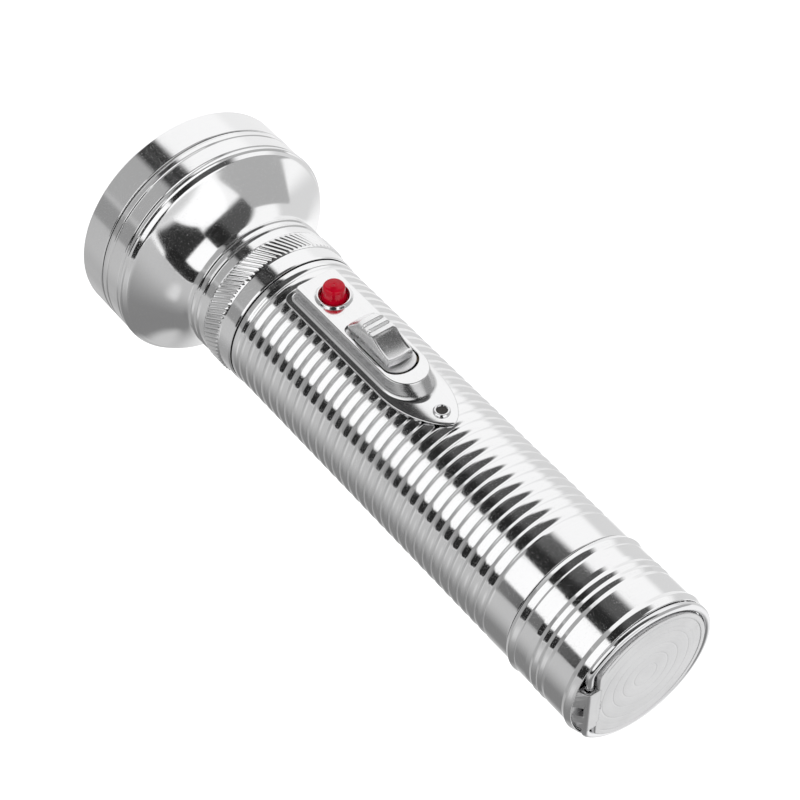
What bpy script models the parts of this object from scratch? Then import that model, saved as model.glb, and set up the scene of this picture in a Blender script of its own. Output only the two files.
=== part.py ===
"""A two-cell pocket flashlight of polished aluminium, built as its separate pieces.

The flashlight stands on its lens ring. The origin is the centre of the ring's front
rim, +Z runs along the axis from the lens to the tail, and the switch faces -Y.
All lengths are in metres.
"""

import math

import bmesh
import bpy
import numpy as np
from mathutils import Matrix

# Clearances
SEAT_GAP = 0.0003
THREAD_GAP = 0.00035
CUT_OVERRUN = 0.004
MERGE_DISTANCE = 0.00001

# Facets of the turned pieces
LARGE_SEGMENTS = 40
TUBE_SEGMENTS = 28
SMALL_SEGMENTS = 20

# Dry cells
CELL_RADIUS = 0.0165
CELL_LENGTH = 0.0615
CELL_CAN_WALL = 0.0004
CELL_NUB_RADIUS = 0.0048
CELL_NUB_HEIGHT = 0.0018
CELL_SEAL_DEPTH = 0.0012
CELL_COUNT_NAMES = ("front_cell", "rear_cell")

# Barrel tube with its pressed rings
BORE_CLEARANCE = 0.0010
SLEEVE_WALL = 0.00065
SHOULDER_STEP = 0.00075
FRONT_SLEEVE_LENGTH = 0.0099
REAR_SLEEVE_LENGTH = 0.0084
FRONT_SMOOTH_LENGTH = 0.0033
REAR_SMOOTH_LENGTH = 0.0082
CELL_STACK_PROTRUSION = 0.0097
RIB_COUNT = 30
RIB_RISE = 0.00008
RIB_DEPTH = 0.00045
GROOVE_SHARE = 0.34

# Head
HEAD_RADIUS = 0.0303
HEAD_WALL = 0.0008
LENS_RING_LENGTH = 0.0087
RIM_WIDTH = 0.0016
RIM_LIP_WIDTH = 0.0013
RIM_LIP_THICKNESS = 0.0014
RIM_EDGE = 0.0006
HEAD_SLEEVE_LENGTH = 0.0028
GROOVE_DEPTH = 0.0003
GROOVE_HALF_WIDTH = 0.0003
FIRST_GROOVE_OFFSET = 0.0019
HEAD_BEAD_OFFSET = 0.0068
HEAD_BEAD_RISE = 0.0002
HEAD_BEAD_LENGTH = 0.0016
SHOULDER_DROP = 0.0009
SHOULDER_LENGTH = 0.0012
BELL_LENGTH = 0.0119
BELL_POWER_SHARE = 1.8
BELL_STEPS = 6

# Neck of the head
NECK_WALL = 0.0008
NECK_RIDGE_RISE = 0.0003
NECK_RIDGE_HALF_WIDTH = 0.0006
NECK_RIDGE_OFFSETS = (0.0016, 0.0038)
KNURL_OFFSET = 0.0067
KNURL_LENGTH = 0.0068
KNURL_RISE = 0.0005
KNURL_EDGE = 0.0004
NECK_LENGTH = 0.0175
NECK_MOUTH_EDGE = 0.0003

# Lens, gasket and reflector
LENS_THICKNESS = 0.0022
GASKET_WIDTH = 0.0024
GASKET_THICKNESS = 0.0008
REFLECTOR_SHEET = 0.0006
REFLECTOR_FLANGE_WIDTH = 0.0020
REFLECTOR_SEAT_DEPTH = 0.0010
REFLECTOR_STEPS = 7

# Bulb, its holder and the contact behind it
BULB_GLASS_RADIUS = 0.0054
BULB_GLASS_LENGTH = 0.0123
BULB_STEM_RADIUS = 0.0041
BULB_FLANGE_RADIUS = 0.0061
BULB_FLANGE_THICKNESS = 0.0006
BULB_CAP_RADIUS = 0.0046
BULB_CAP_LENGTH = 0.0090
BULB_TIP_RADIUS = 0.0024
BULB_TIP_LENGTH = 0.0014
HOLDER_NOSE_RADIUS = 0.0071
HOLDER_CONE_RADIUS = 0.0120
HOLDER_CONE_LENGTH = 0.0024
HOLDER_DISC_OFFSET = 0.0015
HOLDER_DISC_THICKNESS = 0.0020
HOLDER_SKIRT_WALL = 0.0028
CONTACT_HEAD_RADIUS = 0.0026
CONTACT_HEAD_THICKNESS = 0.0012
CONTACT_STEM_RADIUS = 0.0015
CONTACT_REAR_RADIUS = 0.0030
CONTACT_REAR_LENGTH = 0.0034
CONTACT_PLATE_THICKNESS = 0.0017

# Switch cover, placed from the front end of the barrel tube
COVER_SHEET = 0.0005
COVER_OFFSET = 0.0060
COVER_HALF_WIDTH = 0.0074
COVER_TAPER_LENGTH = 0.0175
COVER_TIP_MARGIN = 0.0045
COVER_TAPER_POWER_SHARE = 0.67
COVER_TAPER_STEPS = 9
BOSS_OFFSET = 0.0012
BOSS_BASE_HALF_WIDTH = 0.0067
BOSS_TOP_HALF_WIDTH = 0.0054
BOSS_BASE_LENGTH = 0.0451
BOSS_BASE_ROUND = 0.0090
BOSS_TOP_INSET = 0.0008
BOSS_REAR_SLOPE = 0.0044
BOSS_TOP_ROUND = 0.0061
BOSS_EDGE = 0.0004
BOSS_FOOT_DROP = 0.0014
BOSS_SHOULDER_SHARE = 0.62
BOSS_CORNER = 0.0012
ROUND_STEPS = 8
SLOT_OFFSET = 0.0192
SLOT_REAR_MARGIN = 0.0075
SLOT_HALF_WIDTH = 0.0045
SLOT_ROUND = 0.0036

# Slider
SLIDER_TRAVEL = 0.0036
SLIDER_OFFSET = 0.0009
SLIDER_SHORTFALL = 0.0020
SLIDER_HALF_WIDTH = 0.0037
SLIDER_TOP_HALF_WIDTH = 0.0033
SLIDER_HEIGHT = 0.0044
SLIDER_NECK_WALL = 0.0004
CARRIAGE_THICKNESS = 0.0006
CARRIAGE_OVERLAP = 0.0002
CARRIAGE_FINGER_LENGTH = 0.0050
CARRIAGE_FINGER_HALF_WIDTH = 0.0012

# Side view of the thumb piece: shares of its length and of its height
THUMB_OUTLINE_SHARES = (
    (0.000, 0.000),
    (0.000, 0.250),
    (0.050, 0.420),
    (0.230, 0.830),
    (0.310, 0.930),
    (0.350, 1.000),
    (0.395, 1.000),
    (0.430, 0.920),
    (0.480, 1.000),
    (0.525, 1.000),
    (0.560, 0.900),
    (0.620, 0.730),
    (0.700, 0.600),
    (0.790, 0.530),
    (0.880, 0.540),
    (0.925, 0.560),
    (0.955, 0.500),
    (0.975, 0.180),
    (1.000, 0.100),
    (1.000, 0.000),
)

# Signal button and its pressed collar
BUTTON_OFFSET = 0.0097
BUTTON_TRAVEL = 0.0008
BUTTON_RADIUS = 0.0032
BUTTON_TOP_RADIUS = 0.0028
BUTTON_HEIGHT = 0.0032
BUTTON_CROWN = 0.0009
BUTTON_FLANGE_WIDTH = 0.0010
BUTTON_FLANGE_THICKNESS = 0.0005
COLLAR_WIDTH = 0.0011
COLLAR_RISE = 0.0005
CROWN_STEPS = 4

# Contact strip, its insulator and the rivet at the cover's tip
INSULATOR_THICKNESS = 0.0004
INSULATOR_HALF_WIDTH = 0.0052
INSULATOR_START = 0.0050
INSULATOR_REAR_MARGIN = 0.0028
STRIP_THICKNESS = 0.0003
STRIP_HALF_WIDTH = 0.0020
STRIP_RISER_OFFSET = 0.0036
STRIP_REAR_MARGIN = 0.0029
STRIP_REACH = 0.0005
STRIP_GAP = 0.0003
WINDOW_HALF_WIDTH = 0.0032
WINDOW_START = 0.0024
WINDOW_LENGTH = 0.0044
RIVET_LAND = 0.0045
RIVET_BORE = 0.0009
RIVET_SHANK_RADIUS = 0.0013
RIVET_HEAD_RADIUS = 0.0020
RIVET_HEAD_HEIGHT = 0.0006
RIVET_INNER_HEAD_RADIUS = 0.0018
RIVET_INNER_HEAD_HEIGHT = 0.0002

# Tail cap
CAP_WALL = 0.00075
CAP_LIP_RISE = 0.00025
CAP_LIP_LENGTH = 0.0017
CAP_BEAD_START = 0.0070
CAP_BEAD_PITCH = 0.0019
CAP_BEAD_COUNT = 3
CAP_BEAD_RISE = 0.00025
CAP_RIM_RISE = 0.0005
CAP_RIM_LENGTH = 0.0014
CAP_FLOOR = 0.0008
CAP_RIM_LIP = 0.0004
SPRING_LENGTH = 0.0105

# Tail spring
SPRING_WIRE_RADIUS = 0.0006
SPRING_CELL_RADIUS = 0.0062
SPRING_CAP_RADIUS = 0.0125
SPRING_CURLS = 5
SPRING_CURL_POINTS = 10

# Tail plate and the hang ring that folds round it
PLATE_HEIGHT = 0.0029
PLATE_SHEET = 0.0006
PLATE_WEB = 0.00135
LUG_TURN = 2.0
LUG_HALF_WIDTH = 0.0061
LUG_WALL = 0.0006
LUG_WINDOW_HALF_WIDTH = 0.0014
LUG_WINDOW_HALF_HEIGHT = 0.0007
RING_INSET = 0.00125
RING_WIRE_RADIUS = 0.00095
RING_CORNER_RADIUS = 0.0030
RING_HINGE_INSET = 0.0037
RING_HINGE_HEIGHT = 0.0014
RING_END_GAP = 0.0010
RING_ARC_STEPS = 36
RING_CORNER_STEPS = 4

# Radii that follow from the cells outwards
BORE_RADIUS = CELL_RADIUS + BORE_CLEARANCE
SLEEVE_RADIUS = BORE_RADIUS + SLEEVE_WALL
TUBE_RADIUS = SLEEVE_RADIUS + SHOULDER_STEP
CREST_RADIUS = TUBE_RADIUS + RIB_RISE
NECK_BORE = SLEEVE_RADIUS + THREAD_GAP
NECK_RADIUS = NECK_BORE + NECK_WALL
CAP_BORE = SLEEVE_RADIUS + THREAD_GAP
CAP_RADIUS = CAP_BORE + CAP_WALL
RING_RADIUS = CAP_RADIUS + CAP_RIM_RISE - RING_INSET
RING_HINGE_DISTANCE = RING_RADIUS - RING_HINGE_INSET
HINGE_BORE = RING_WIRE_RADIUS + SEAT_GAP
PLATE_RECESS_RADIUS = RING_HINGE_DISTANCE - HINGE_BORE - PLATE_WEB
HEAD_BORE = HEAD_RADIUS - HEAD_WALL
HEAD_SLEEVE_RADIUS = HEAD_BORE - SEAT_GAP
HEAD_SLEEVE_BORE = HEAD_SLEEVE_RADIUS - HEAD_WALL

# Stations along the axis, from the lens to the tail
LENS_FRONT = RIM_LIP_THICKNESS + SEAT_GAP
LENS_REAR = LENS_FRONT + LENS_THICKNESS
GASKET_FRONT = LENS_REAR + SEAT_GAP
GASKET_REAR = GASKET_FRONT + GASKET_THICKNESS
REFLECTOR_FRONT = GASKET_REAR + SEAT_GAP
SHELL_FRONT = LENS_RING_LENGTH + SEAT_GAP
SHELL_SLEEVE_FRONT = SHELL_FRONT - HEAD_SLEEVE_LENGTH
SHOULDER_STATION = SHELL_FRONT + HEAD_BEAD_OFFSET + HEAD_BEAD_LENGTH
BELL_FRONT = SHOULDER_STATION + SHOULDER_LENGTH
NECK_FRONT = BELL_FRONT + BELL_LENGTH
SEAM = NECK_FRONT + NECK_LENGTH
TUBE_FRONT = SEAM + SEAT_GAP
SLEEVE_FRONT = TUBE_FRONT - FRONT_SLEEVE_LENGTH
STRIP_FRONT = SLEEVE_FRONT - STRIP_REACH
SKIRT_REAR = STRIP_FRONT - SEAT_GAP
HOLDER_DISC_FRONT = NECK_FRONT + HOLDER_DISC_OFFSET
HOLDER_DISC_REAR = HOLDER_DISC_FRONT + HOLDER_DISC_THICKNESS
CONTACT_PLATE_FRONT = HOLDER_DISC_REAR + SEAT_GAP
CONTACT_PLATE_REAR = CONTACT_PLATE_FRONT + CONTACT_PLATE_THICKNESS
CONTACT_FRONT = CONTACT_PLATE_FRONT - SEAT_GAP - CONTACT_HEAD_THICKNESS
BULB_TIP_REAR = CONTACT_FRONT - SEAT_GAP
BULB_TIP_FRONT = BULB_TIP_REAR - BULB_TIP_LENGTH
BULB_CAP_REAR = BULB_TIP_FRONT - SEAT_GAP
BULB_FLANGE_REAR = BULB_CAP_REAR - BULB_CAP_LENGTH
BULB_FLANGE_FRONT = BULB_FLANGE_REAR - BULB_FLANGE_THICKNESS
BULB_GLASS_REAR = BULB_FLANGE_FRONT - SEAT_GAP
HOLDER_NOSE_FRONT = BULB_FLANGE_REAR + SEAT_GAP
CONTACT_REAR_FRONT = CONTACT_PLATE_REAR + SEAT_GAP
CONTACT_REAR = CONTACT_REAR_FRONT + CONTACT_REAR_LENGTH
CELLS_FRONT = CONTACT_REAR + SEAT_GAP
CELL_STEP = CELL_LENGTH + SEAT_GAP
CELLS_REAR = CELLS_FRONT + CELL_STEP + CELL_LENGTH
CAP_MOUTH = CELLS_REAR - CELL_STACK_PROTRUSION
TUBE_REAR = CAP_MOUTH - SEAT_GAP
SLEEVE_REAR = TUBE_REAR + REAR_SLEEVE_LENGTH
CAP_FLOOR_FRONT = CELLS_REAR + SPRING_LENGTH
CAP_FLOOR_REAR = CAP_FLOOR_FRONT + CAP_FLOOR
CAP_RIM_REAR = CAP_FLOOR_REAR + CAP_RIM_LIP
PLATE_FRONT = CAP_FLOOR_REAR + SEAT_GAP
PLATE_REAR = PLATE_FRONT + PLATE_HEIGHT
HINGE_STATION = CAP_FLOOR_REAR + RING_HINGE_HEIGHT
RIBS_FRONT = TUBE_FRONT + FRONT_SMOOTH_LENGTH
RIBS_REAR = TUBE_REAR - REAR_SMOOTH_LENGTH

# Stations of the switch along the axis
COVER_FRONT = TUBE_FRONT + COVER_OFFSET
BOSS_FRONT = COVER_FRONT + BOSS_OFFSET
BOSS_REAR = BOSS_FRONT + BOSS_BASE_LENGTH
BOSS_TOP_LENGTH = BOSS_BASE_LENGTH - BOSS_REAR_SLOPE
RIVET_STATION = BOSS_REAR + RIVET_LAND
COVER_REAR = RIVET_STATION + COVER_TIP_MARGIN
SLOT_FRONT = COVER_FRONT + SLOT_OFFSET
SLOT_REAR = BOSS_REAR - SLOT_REAR_MARGIN
SLIDER_LENGTH = SLOT_REAR - SLOT_FRONT - SLIDER_SHORTFALL
BUTTON_STATION = COVER_FRONT + BUTTON_OFFSET
INSULATOR_FRONT = COVER_FRONT + INSULATOR_START
INSULATOR_REAR = BOSS_REAR - INSULATOR_REAR_MARGIN
STRIP_RISER = COVER_FRONT + STRIP_RISER_OFFSET
STRIP_REAR = INSULATOR_REAR - STRIP_REAR_MARGIN
WINDOW_FRONT = COVER_FRONT + WINDOW_START

# Heights of the switch over the axis, from the tube outwards
COVER_INNER = CREST_RADIUS + SEAT_GAP
COVER_OUTER = COVER_INNER + COVER_SHEET
INSULATOR_LOW = CREST_RADIUS + SEAT_GAP
INSULATOR_HIGH = INSULATOR_LOW + INSULATOR_THICKNESS
STRIP_LOW = INSULATOR_HIGH + STRIP_GAP
STRIP_HIGH = STRIP_LOW + STRIP_THICKNESS
STRIP_INNER = CELL_RADIUS + SEAT_GAP
BUTTON_LOW = STRIP_HIGH + SEAT_GAP + BUTTON_TRAVEL
BUTTON_FLANGE_HIGH = BUTTON_LOW + BUTTON_FLANGE_THICKNESS
BOSS_INNER = BUTTON_FLANGE_HIGH + SEAT_GAP
BOSS_OUTER = BOSS_INNER + COVER_SHEET
CARRIAGE_HIGH = BOSS_INNER - SEAT_GAP
CARRIAGE_LOW = CARRIAGE_HIGH - CARRIAGE_THICKNESS
SLIDER_LOW = BOSS_OUTER + SEAT_GAP
BUTTON_HOLE = BUTTON_RADIUS + SEAT_GAP

# Views that a flat outline is drawn in: world axes of its x, its y and its thickness
FRONT_VIEW = Matrix(((1, 0, 0, 0), (0, 0, -1, 0), (0, 1, 0, 0), (0, 0, 0, 1)))
SIDE_VIEW = Matrix(((0, 0, 1, 0), (0, -1, 0, 0), (1, 0, 0, 0), (0, 0, 0, 1)))


def clear_scene():
    for obj in list(bpy.data.objects):
        bpy.data.objects.remove(obj, do_unlink=True)


def new_collection(name):
    collection = bpy.data.collections.new(name)
    bpy.context.scene.collection.children.link(collection)
    return collection


def new_material(name, colour, roughness, metallic):
    material = bpy.data.materials.new(name)
    material.use_nodes = True
    shader = material.node_tree.nodes["Principled BSDF"]
    shader.inputs["Base Color"].default_value = (*colour, 1.0)
    shader.inputs["Roughness"].default_value = roughness
    shader.inputs["Metallic"].default_value = metallic
    return material


def place(obj, finish, as_cutter=False):
    """Puts the object in the part's collection, or in the cutters' one."""
    if as_cutter:
        CUTTERS.objects.link(obj)
        obj.hide_render = True
        obj.display_type = "WIRE"
    else:
        PIECES.objects.link(obj)
        obj.data.materials.append(finish)
    return obj


def clockwise(outline):
    """The closed outline in the order that runs down its outer side."""
    points = np.array(outline)
    following = np.roll(points, -1, axis=0)
    area = np.sum(points[:, 0] * following[:, 1] - following[:, 0] * points[:, 1])
    if area > 0:
        return outline[::-1]
    return outline


def turned(name, profile, finish, segments=LARGE_SEGMENTS, as_cutter=False):
    """A profile of (radius, height) points, swept round Z.

    A profile that starts and ends at radius zero is solid. Any other is closed and
    makes a ring.
    """
    solid = profile[0][0] == 0 and profile[-1][0] == 0
    if solid and profile[0][1] < profile[-1][1]:
        profile = profile[::-1]
    if not solid:
        profile = clockwise(profile)
    count = len(profile)
    edges = [(i, i + 1) for i in range(count - 1)]
    if not solid:
        edges.append((count - 1, 0))
    mesh = bpy.data.meshes.new(name)
    mesh.from_pydata([(radius, 0, height) for radius, height in profile], edges, [])
    obj = place(bpy.data.objects.new(name, mesh), finish, as_cutter)
    screw = obj.modifiers.new("turn", "SCREW")
    screw.axis = "Z"
    screw.angle = math.tau
    screw.steps = segments
    screw.render_steps = segments
    screw.use_merge_vertices = True
    screw.merge_threshold = MERGE_DISTANCE
    screw.use_smooth_shade = True
    return obj


def flat_piece(name, outline, view, low, high, finish, as_cutter=False):
    """A closed outline, given a thickness from low to high across its view."""
    curve = bpy.data.curves.new(name, "CURVE")
    curve.dimensions = "2D"
    curve.fill_mode = "BOTH"
    curve.extrude = (high - low) / 2
    spline = curve.splines.new("POLY")
    spline.points.add(len(outline) - 1)
    for point, (x, y) in zip(spline.points, outline):
        point.co = (x, y, 0, 1)
    spline.use_cyclic_u = True
    guide = bpy.data.objects.new(name, curve)
    guide.matrix_world = view @ Matrix.Translation((0, 0, (low + high) / 2))
    CUTTERS.objects.link(guide)
    return curve_to_mesh(guide, finish, as_cutter)


def wire(name, points, radius, finish, resolution=2):
    """A round wire along the points."""
    curve = bpy.data.curves.new(name, "CURVE")
    curve.dimensions = "3D"
    curve.bevel_depth = radius
    curve.bevel_resolution = resolution
    curve.use_fill_caps = True
    spline = curve.splines.new("POLY")
    spline.points.add(len(points) - 1)
    for point, spot in zip(spline.points, points):
        point.co = (*spot, 1)
    return place(bpy.data.objects.new(name, curve), finish)


def curve_to_mesh(guide, finish, as_cutter):
    """Replaces the curve object with a mesh object whose caps are welded."""
    name = guide.name
    bpy.context.view_layer.update()
    graph = bpy.context.evaluated_depsgraph_get()
    mesh = bpy.data.meshes.new_from_object(guide.evaluated_get(graph))
    form = bmesh.new()
    form.from_mesh(mesh)
    bmesh.ops.remove_doubles(form, verts=form.verts, dist=MERGE_DISTANCE)
    bmesh.ops.recalc_face_normals(form, faces=form.faces)
    form.to_mesh(mesh)
    form.free()
    matrix = guide.matrix_world.copy()
    bpy.data.objects.remove(guide, do_unlink=True)
    mesh.materials.clear()
    obj = place(bpy.data.objects.new(name, mesh), finish, as_cutter)
    obj.matrix_world = matrix
    return obj


def loft(name, sections, finish, as_cutter=False):
    """A closed body through outlines of one length, each at its own height over the axis."""
    form = bmesh.new()
    rows = []
    for height, outline in sections:
        rows.append([form.verts.new((x, -height, z)) for x, z in outline])
    for lower, upper in zip(rows[:-1], rows[1:]):
        for i, corner in enumerate(lower):
            after = (i + 1) % len(lower)
            form.faces.new((corner, lower[after], upper[after], upper[i]))
    form.faces.new(rows[0])
    form.faces.new(rows[-1])
    bmesh.ops.triangulate(form, faces=form.faces)
    bmesh.ops.recalc_face_normals(form, faces=form.faces)
    mesh = bpy.data.meshes.new(name)
    form.to_mesh(mesh)
    form.free()
    return place(bpy.data.objects.new(name, mesh), finish, as_cutter)


def combine(target, other, operation):
    step = target.modifiers.new(f"{operation.lower()} {other.name}", "BOOLEAN")
    step.operation = operation
    step.solver = "EXACT"
    step.object = other


def face_switch(obj, station):
    """Turns a piece that was made round Z so that it points out through the switch.

    Half a facet's turn keeps its corners off the seams of the pieces that it meets.
    """
    half_facet = Matrix.Rotation(math.pi / SMALL_SEGMENTS, 4, "Z")
    obj.matrix_world = Matrix.Translation((0, 0, station)) @ FRONT_VIEW @ half_facet
    return obj


def ellipse_end(half_width, centre, reach, steps):
    """Half an ellipse from +half_width round to -half_width, bulging along the axis."""
    points = []
    for i in range(steps + 1):
        turn = math.pi * i / steps
        points.append((half_width * math.cos(turn), centre + reach * math.sin(turn)))
    return points


def boat_outline(half_width, front, length, reach, corner):
    """Straight sides, cut corners at the front and half an ellipse at the rear."""
    points = [
        (-half_width, front + corner),
        (corner - half_width, front),
        (half_width - corner, front),
        (half_width, front + corner),
    ]
    return points + ellipse_end(half_width, front + length - reach, reach, ROUND_STEPS)


def lens_ring():
    """Screw-on ring that holds the lens: a flat rim, a lip and a plain cylinder."""
    lip_radius = HEAD_RADIUS - RIM_EDGE - RIM_WIDTH - RIM_LIP_WIDTH
    profile = [
        (lip_radius, RIM_EDGE),
        (lip_radius + RIM_LIP_WIDTH, 0),
        (HEAD_RADIUS - RIM_EDGE, 0),
        (HEAD_RADIUS, RIM_EDGE),
        (HEAD_RADIUS, LENS_RING_LENGTH - GROOVE_DEPTH),
        (HEAD_RADIUS - GROOVE_DEPTH, LENS_RING_LENGTH),
        (HEAD_BORE, LENS_RING_LENGTH),
        (HEAD_BORE, RIM_LIP_THICKNESS),
        (lip_radius, RIM_LIP_THICKNESS),
    ]
    return turned("lens_ring", profile, ALUMINIUM)


def lens():
    """Plain clear disc behind the ring's lip."""
    radius = HEAD_BORE - SEAT_GAP
    profile = [(0, LENS_FRONT), (radius, LENS_FRONT), (radius, LENS_REAR), (0, LENS_REAR)]
    return turned("lens", profile, CLEAR)


def lens_gasket():
    """Flat rubber ring between the lens and the reflector's flange."""
    outer = HEAD_BORE - SEAT_GAP
    inner = outer - GASKET_WIDTH
    profile = [
        (inner, GASKET_FRONT),
        (outer, GASKET_FRONT),
        (outer, GASKET_REAR),
        (inner, GASKET_REAR),
    ]
    return turned("lens_gasket", profile, RUBBER)


def reflector():
    """Pressed bowl whose wall is a parabola from the flange to the holder's nose.

    Along the wall, the depth grows with the square of the radius.
    """
    flange = HEAD_BORE - SEAT_GAP
    rim = flange - REFLECTOR_FLANGE_WIDTH
    hole = HOLDER_NOSE_RADIUS + SEAT_GAP
    deepest = HOLDER_NOSE_FRONT + REFLECTOR_SEAT_DEPTH
    flange_rear = REFLECTOR_FRONT + REFLECTOR_SHEET

    def wall(radius):
        share = (rim**2 - radius**2) / (rim**2 - hole**2)
        return REFLECTOR_FRONT + (deepest - REFLECTOR_FRONT) * share

    radii = [rim + (hole - rim) * i / REFLECTOR_STEPS for i in range(REFLECTOR_STEPS + 1)]
    inner = [(radius, wall(radius)) for radius in radii]
    outer = [(radius + REFLECTOR_SHEET, wall(radius) + REFLECTOR_SHEET) for radius in radii]
    profile = [(flange, REFLECTOR_FRONT), *inner, *outer[::-1]]
    profile.append((flange, flange_rear))
    return turned("reflector", profile, MIRROR)


def bell_profile(offset):
    """Outer line of the bell, moved in by the offset: a trumpet that eases into the neck.

    The radius over the neck falls as a power of the distance that is left.
    """
    top = HEAD_RADIUS - SHOULDER_DROP
    drop = top - NECK_RADIUS
    points = []
    for i in range(BELL_STEPS + 1):
        share = i / BELL_STEPS
        radius = NECK_RADIUS + drop * (1 - share) ** BELL_POWER_SHARE
        points.append((radius - offset, BELL_FRONT + BELL_LENGTH * share))
    return points


def head_shell():
    """Bell with its front band and its knurled neck, spun from one sheet."""
    first_groove = SHELL_FRONT + FIRST_GROOVE_OFFSET
    bead = SHELL_FRONT + HEAD_BEAD_OFFSET
    knurl = NECK_FRONT + KNURL_OFFSET
    outside = [
        (HEAD_SLEEVE_RADIUS, SHELL_SLEEVE_FRONT),
        (HEAD_SLEEVE_RADIUS, SHELL_FRONT),
        (HEAD_RADIUS - GROOVE_DEPTH, SHELL_FRONT),
        (HEAD_RADIUS, SHELL_FRONT + GROOVE_HALF_WIDTH),
        (HEAD_RADIUS, first_groove - GROOVE_HALF_WIDTH),
        (HEAD_RADIUS - GROOVE_DEPTH, first_groove),
        (HEAD_RADIUS, first_groove + GROOVE_HALF_WIDTH),
        (HEAD_RADIUS, bead - GROOVE_HALF_WIDTH),
        (HEAD_RADIUS - GROOVE_DEPTH, bead),
        (HEAD_RADIUS + HEAD_BEAD_RISE, bead + HEAD_BEAD_LENGTH / 2),
        (HEAD_RADIUS - HEAD_BEAD_RISE, SHOULDER_STATION),
        *bell_profile(0),
    ]
    for offset in NECK_RIDGE_OFFSETS:
        ridge = NECK_FRONT + offset
        outside.append((NECK_RADIUS, ridge - NECK_RIDGE_HALF_WIDTH))
        outside.append((NECK_RADIUS + NECK_RIDGE_RISE, ridge))
        outside.append((NECK_RADIUS, ridge + NECK_RIDGE_HALF_WIDTH))
    outside += [
        (NECK_RADIUS, knurl - KNURL_EDGE),
        (NECK_RADIUS + KNURL_RISE, knurl),
        (NECK_RADIUS + KNURL_RISE, knurl + KNURL_LENGTH),
        (NECK_RADIUS, knurl + KNURL_LENGTH + KNURL_EDGE),
        (NECK_RADIUS, SEAM - NECK_MOUTH_EDGE),
        (NECK_RADIUS - NECK_MOUTH_EDGE, SEAM),
    ]
    inside = [
        (HEAD_SLEEVE_BORE, SHELL_SLEEVE_FRONT),
        (HEAD_SLEEVE_BORE, SHOULDER_STATION),
        *bell_profile(HEAD_WALL),
        (NECK_BORE, NECK_FRONT),
        (NECK_BORE, SEAM),
    ]
    return turned("head_shell", outside + inside[::-1], ALUMINIUM)


def bulb():
    """Small flanged lamp: its glass, its metal cap and the contact at its end."""
    front = BULB_GLASS_REAR - BULB_GLASS_LENGTH
    glass = [(0, front)]
    for i in range(1, CROWN_STEPS + 1):
        turn = math.pi / 2 * i / CROWN_STEPS
        glass.append(
            (
                BULB_GLASS_RADIUS * math.sin(turn),
                front + BULB_GLASS_RADIUS * (1 - math.cos(turn)),
            )
        )
    glass.append((BULB_STEM_RADIUS, BULB_GLASS_REAR - BULB_STEM_RADIUS / 2))
    glass.append((BULB_STEM_RADIUS, BULB_GLASS_REAR))
    glass.append((0, BULB_GLASS_REAR))
    cap = [
        (0, BULB_FLANGE_FRONT),
        (BULB_FLANGE_RADIUS, BULB_FLANGE_FRONT),
        (BULB_FLANGE_RADIUS, BULB_FLANGE_REAR),
        (BULB_CAP_RADIUS, BULB_FLANGE_REAR),
        (BULB_CAP_RADIUS, BULB_CAP_REAR),
        (0, BULB_CAP_REAR),
    ]
    tip = [
        (0, BULB_TIP_FRONT),
        (BULB_TIP_RADIUS, BULB_TIP_FRONT),
        (BULB_TIP_RADIUS / 2, BULB_TIP_REAR),
        (0, BULB_TIP_REAR),
    ]
    turned("bulb_glass", glass, CLEAR, SMALL_SEGMENTS)
    turned("bulb_cap", cap, BRASS, SMALL_SEGMENTS)
    turned("bulb_tip", tip, BRASS, SMALL_SEGMENTS)


def bulb_holder():
    """Moulded socket: a nose in the reflector, a cone, a disc and a skirt in the neck."""
    bore = BULB_CAP_RADIUS + SEAT_GAP
    disc = NECK_BORE - THREAD_GAP
    skirt = disc - HOLDER_SKIRT_WALL
    cone = HOLDER_DISC_FRONT - HOLDER_CONE_LENGTH
    profile = [
        (bore, HOLDER_NOSE_FRONT),
        (HOLDER_NOSE_RADIUS, HOLDER_NOSE_FRONT),
        (HOLDER_NOSE_RADIUS, cone),
        (HOLDER_CONE_RADIUS, HOLDER_DISC_FRONT),
        (disc, HOLDER_DISC_FRONT),
        (disc, SKIRT_REAR),
        (skirt, SKIRT_REAR),
        (skirt, HOLDER_DISC_REAR),
        (bore, HOLDER_DISC_REAR),
    ]
    return turned("bulb_holder", profile, BAKELITE)


def contact_plate():
    """Fibre disc in the holder's skirt that carries the centre contact."""
    outer = NECK_BORE - THREAD_GAP - HOLDER_SKIRT_WALL - SEAT_GAP
    hole = CONTACT_STEM_RADIUS + SEAT_GAP
    profile = [
        (hole, CONTACT_PLATE_FRONT),
        (outer, CONTACT_PLATE_FRONT),
        (outer, CONTACT_PLATE_REAR),
        (hole, CONTACT_PLATE_REAR),
    ]
    return turned("contact_plate", profile, FIBRE, TUBE_SEGMENTS)


def centre_contact():
    """Rivet through the contact plate, from the lamp's end to the front cell."""
    head_rear = CONTACT_FRONT + CONTACT_HEAD_THICKNESS
    profile = [
        (0, CONTACT_FRONT),
        (CONTACT_HEAD_RADIUS, CONTACT_FRONT),
        (CONTACT_HEAD_RADIUS, head_rear),
        (CONTACT_STEM_RADIUS, head_rear),
        (CONTACT_STEM_RADIUS, CONTACT_REAR_FRONT),
        (CONTACT_REAR_RADIUS, CONTACT_REAR_FRONT),
        (CONTACT_REAR_RADIUS, CONTACT_REAR),
        (0, CONTACT_REAR),
    ]
    return turned("centre_contact", profile, BRASS, SMALL_SEGMENTS)


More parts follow.
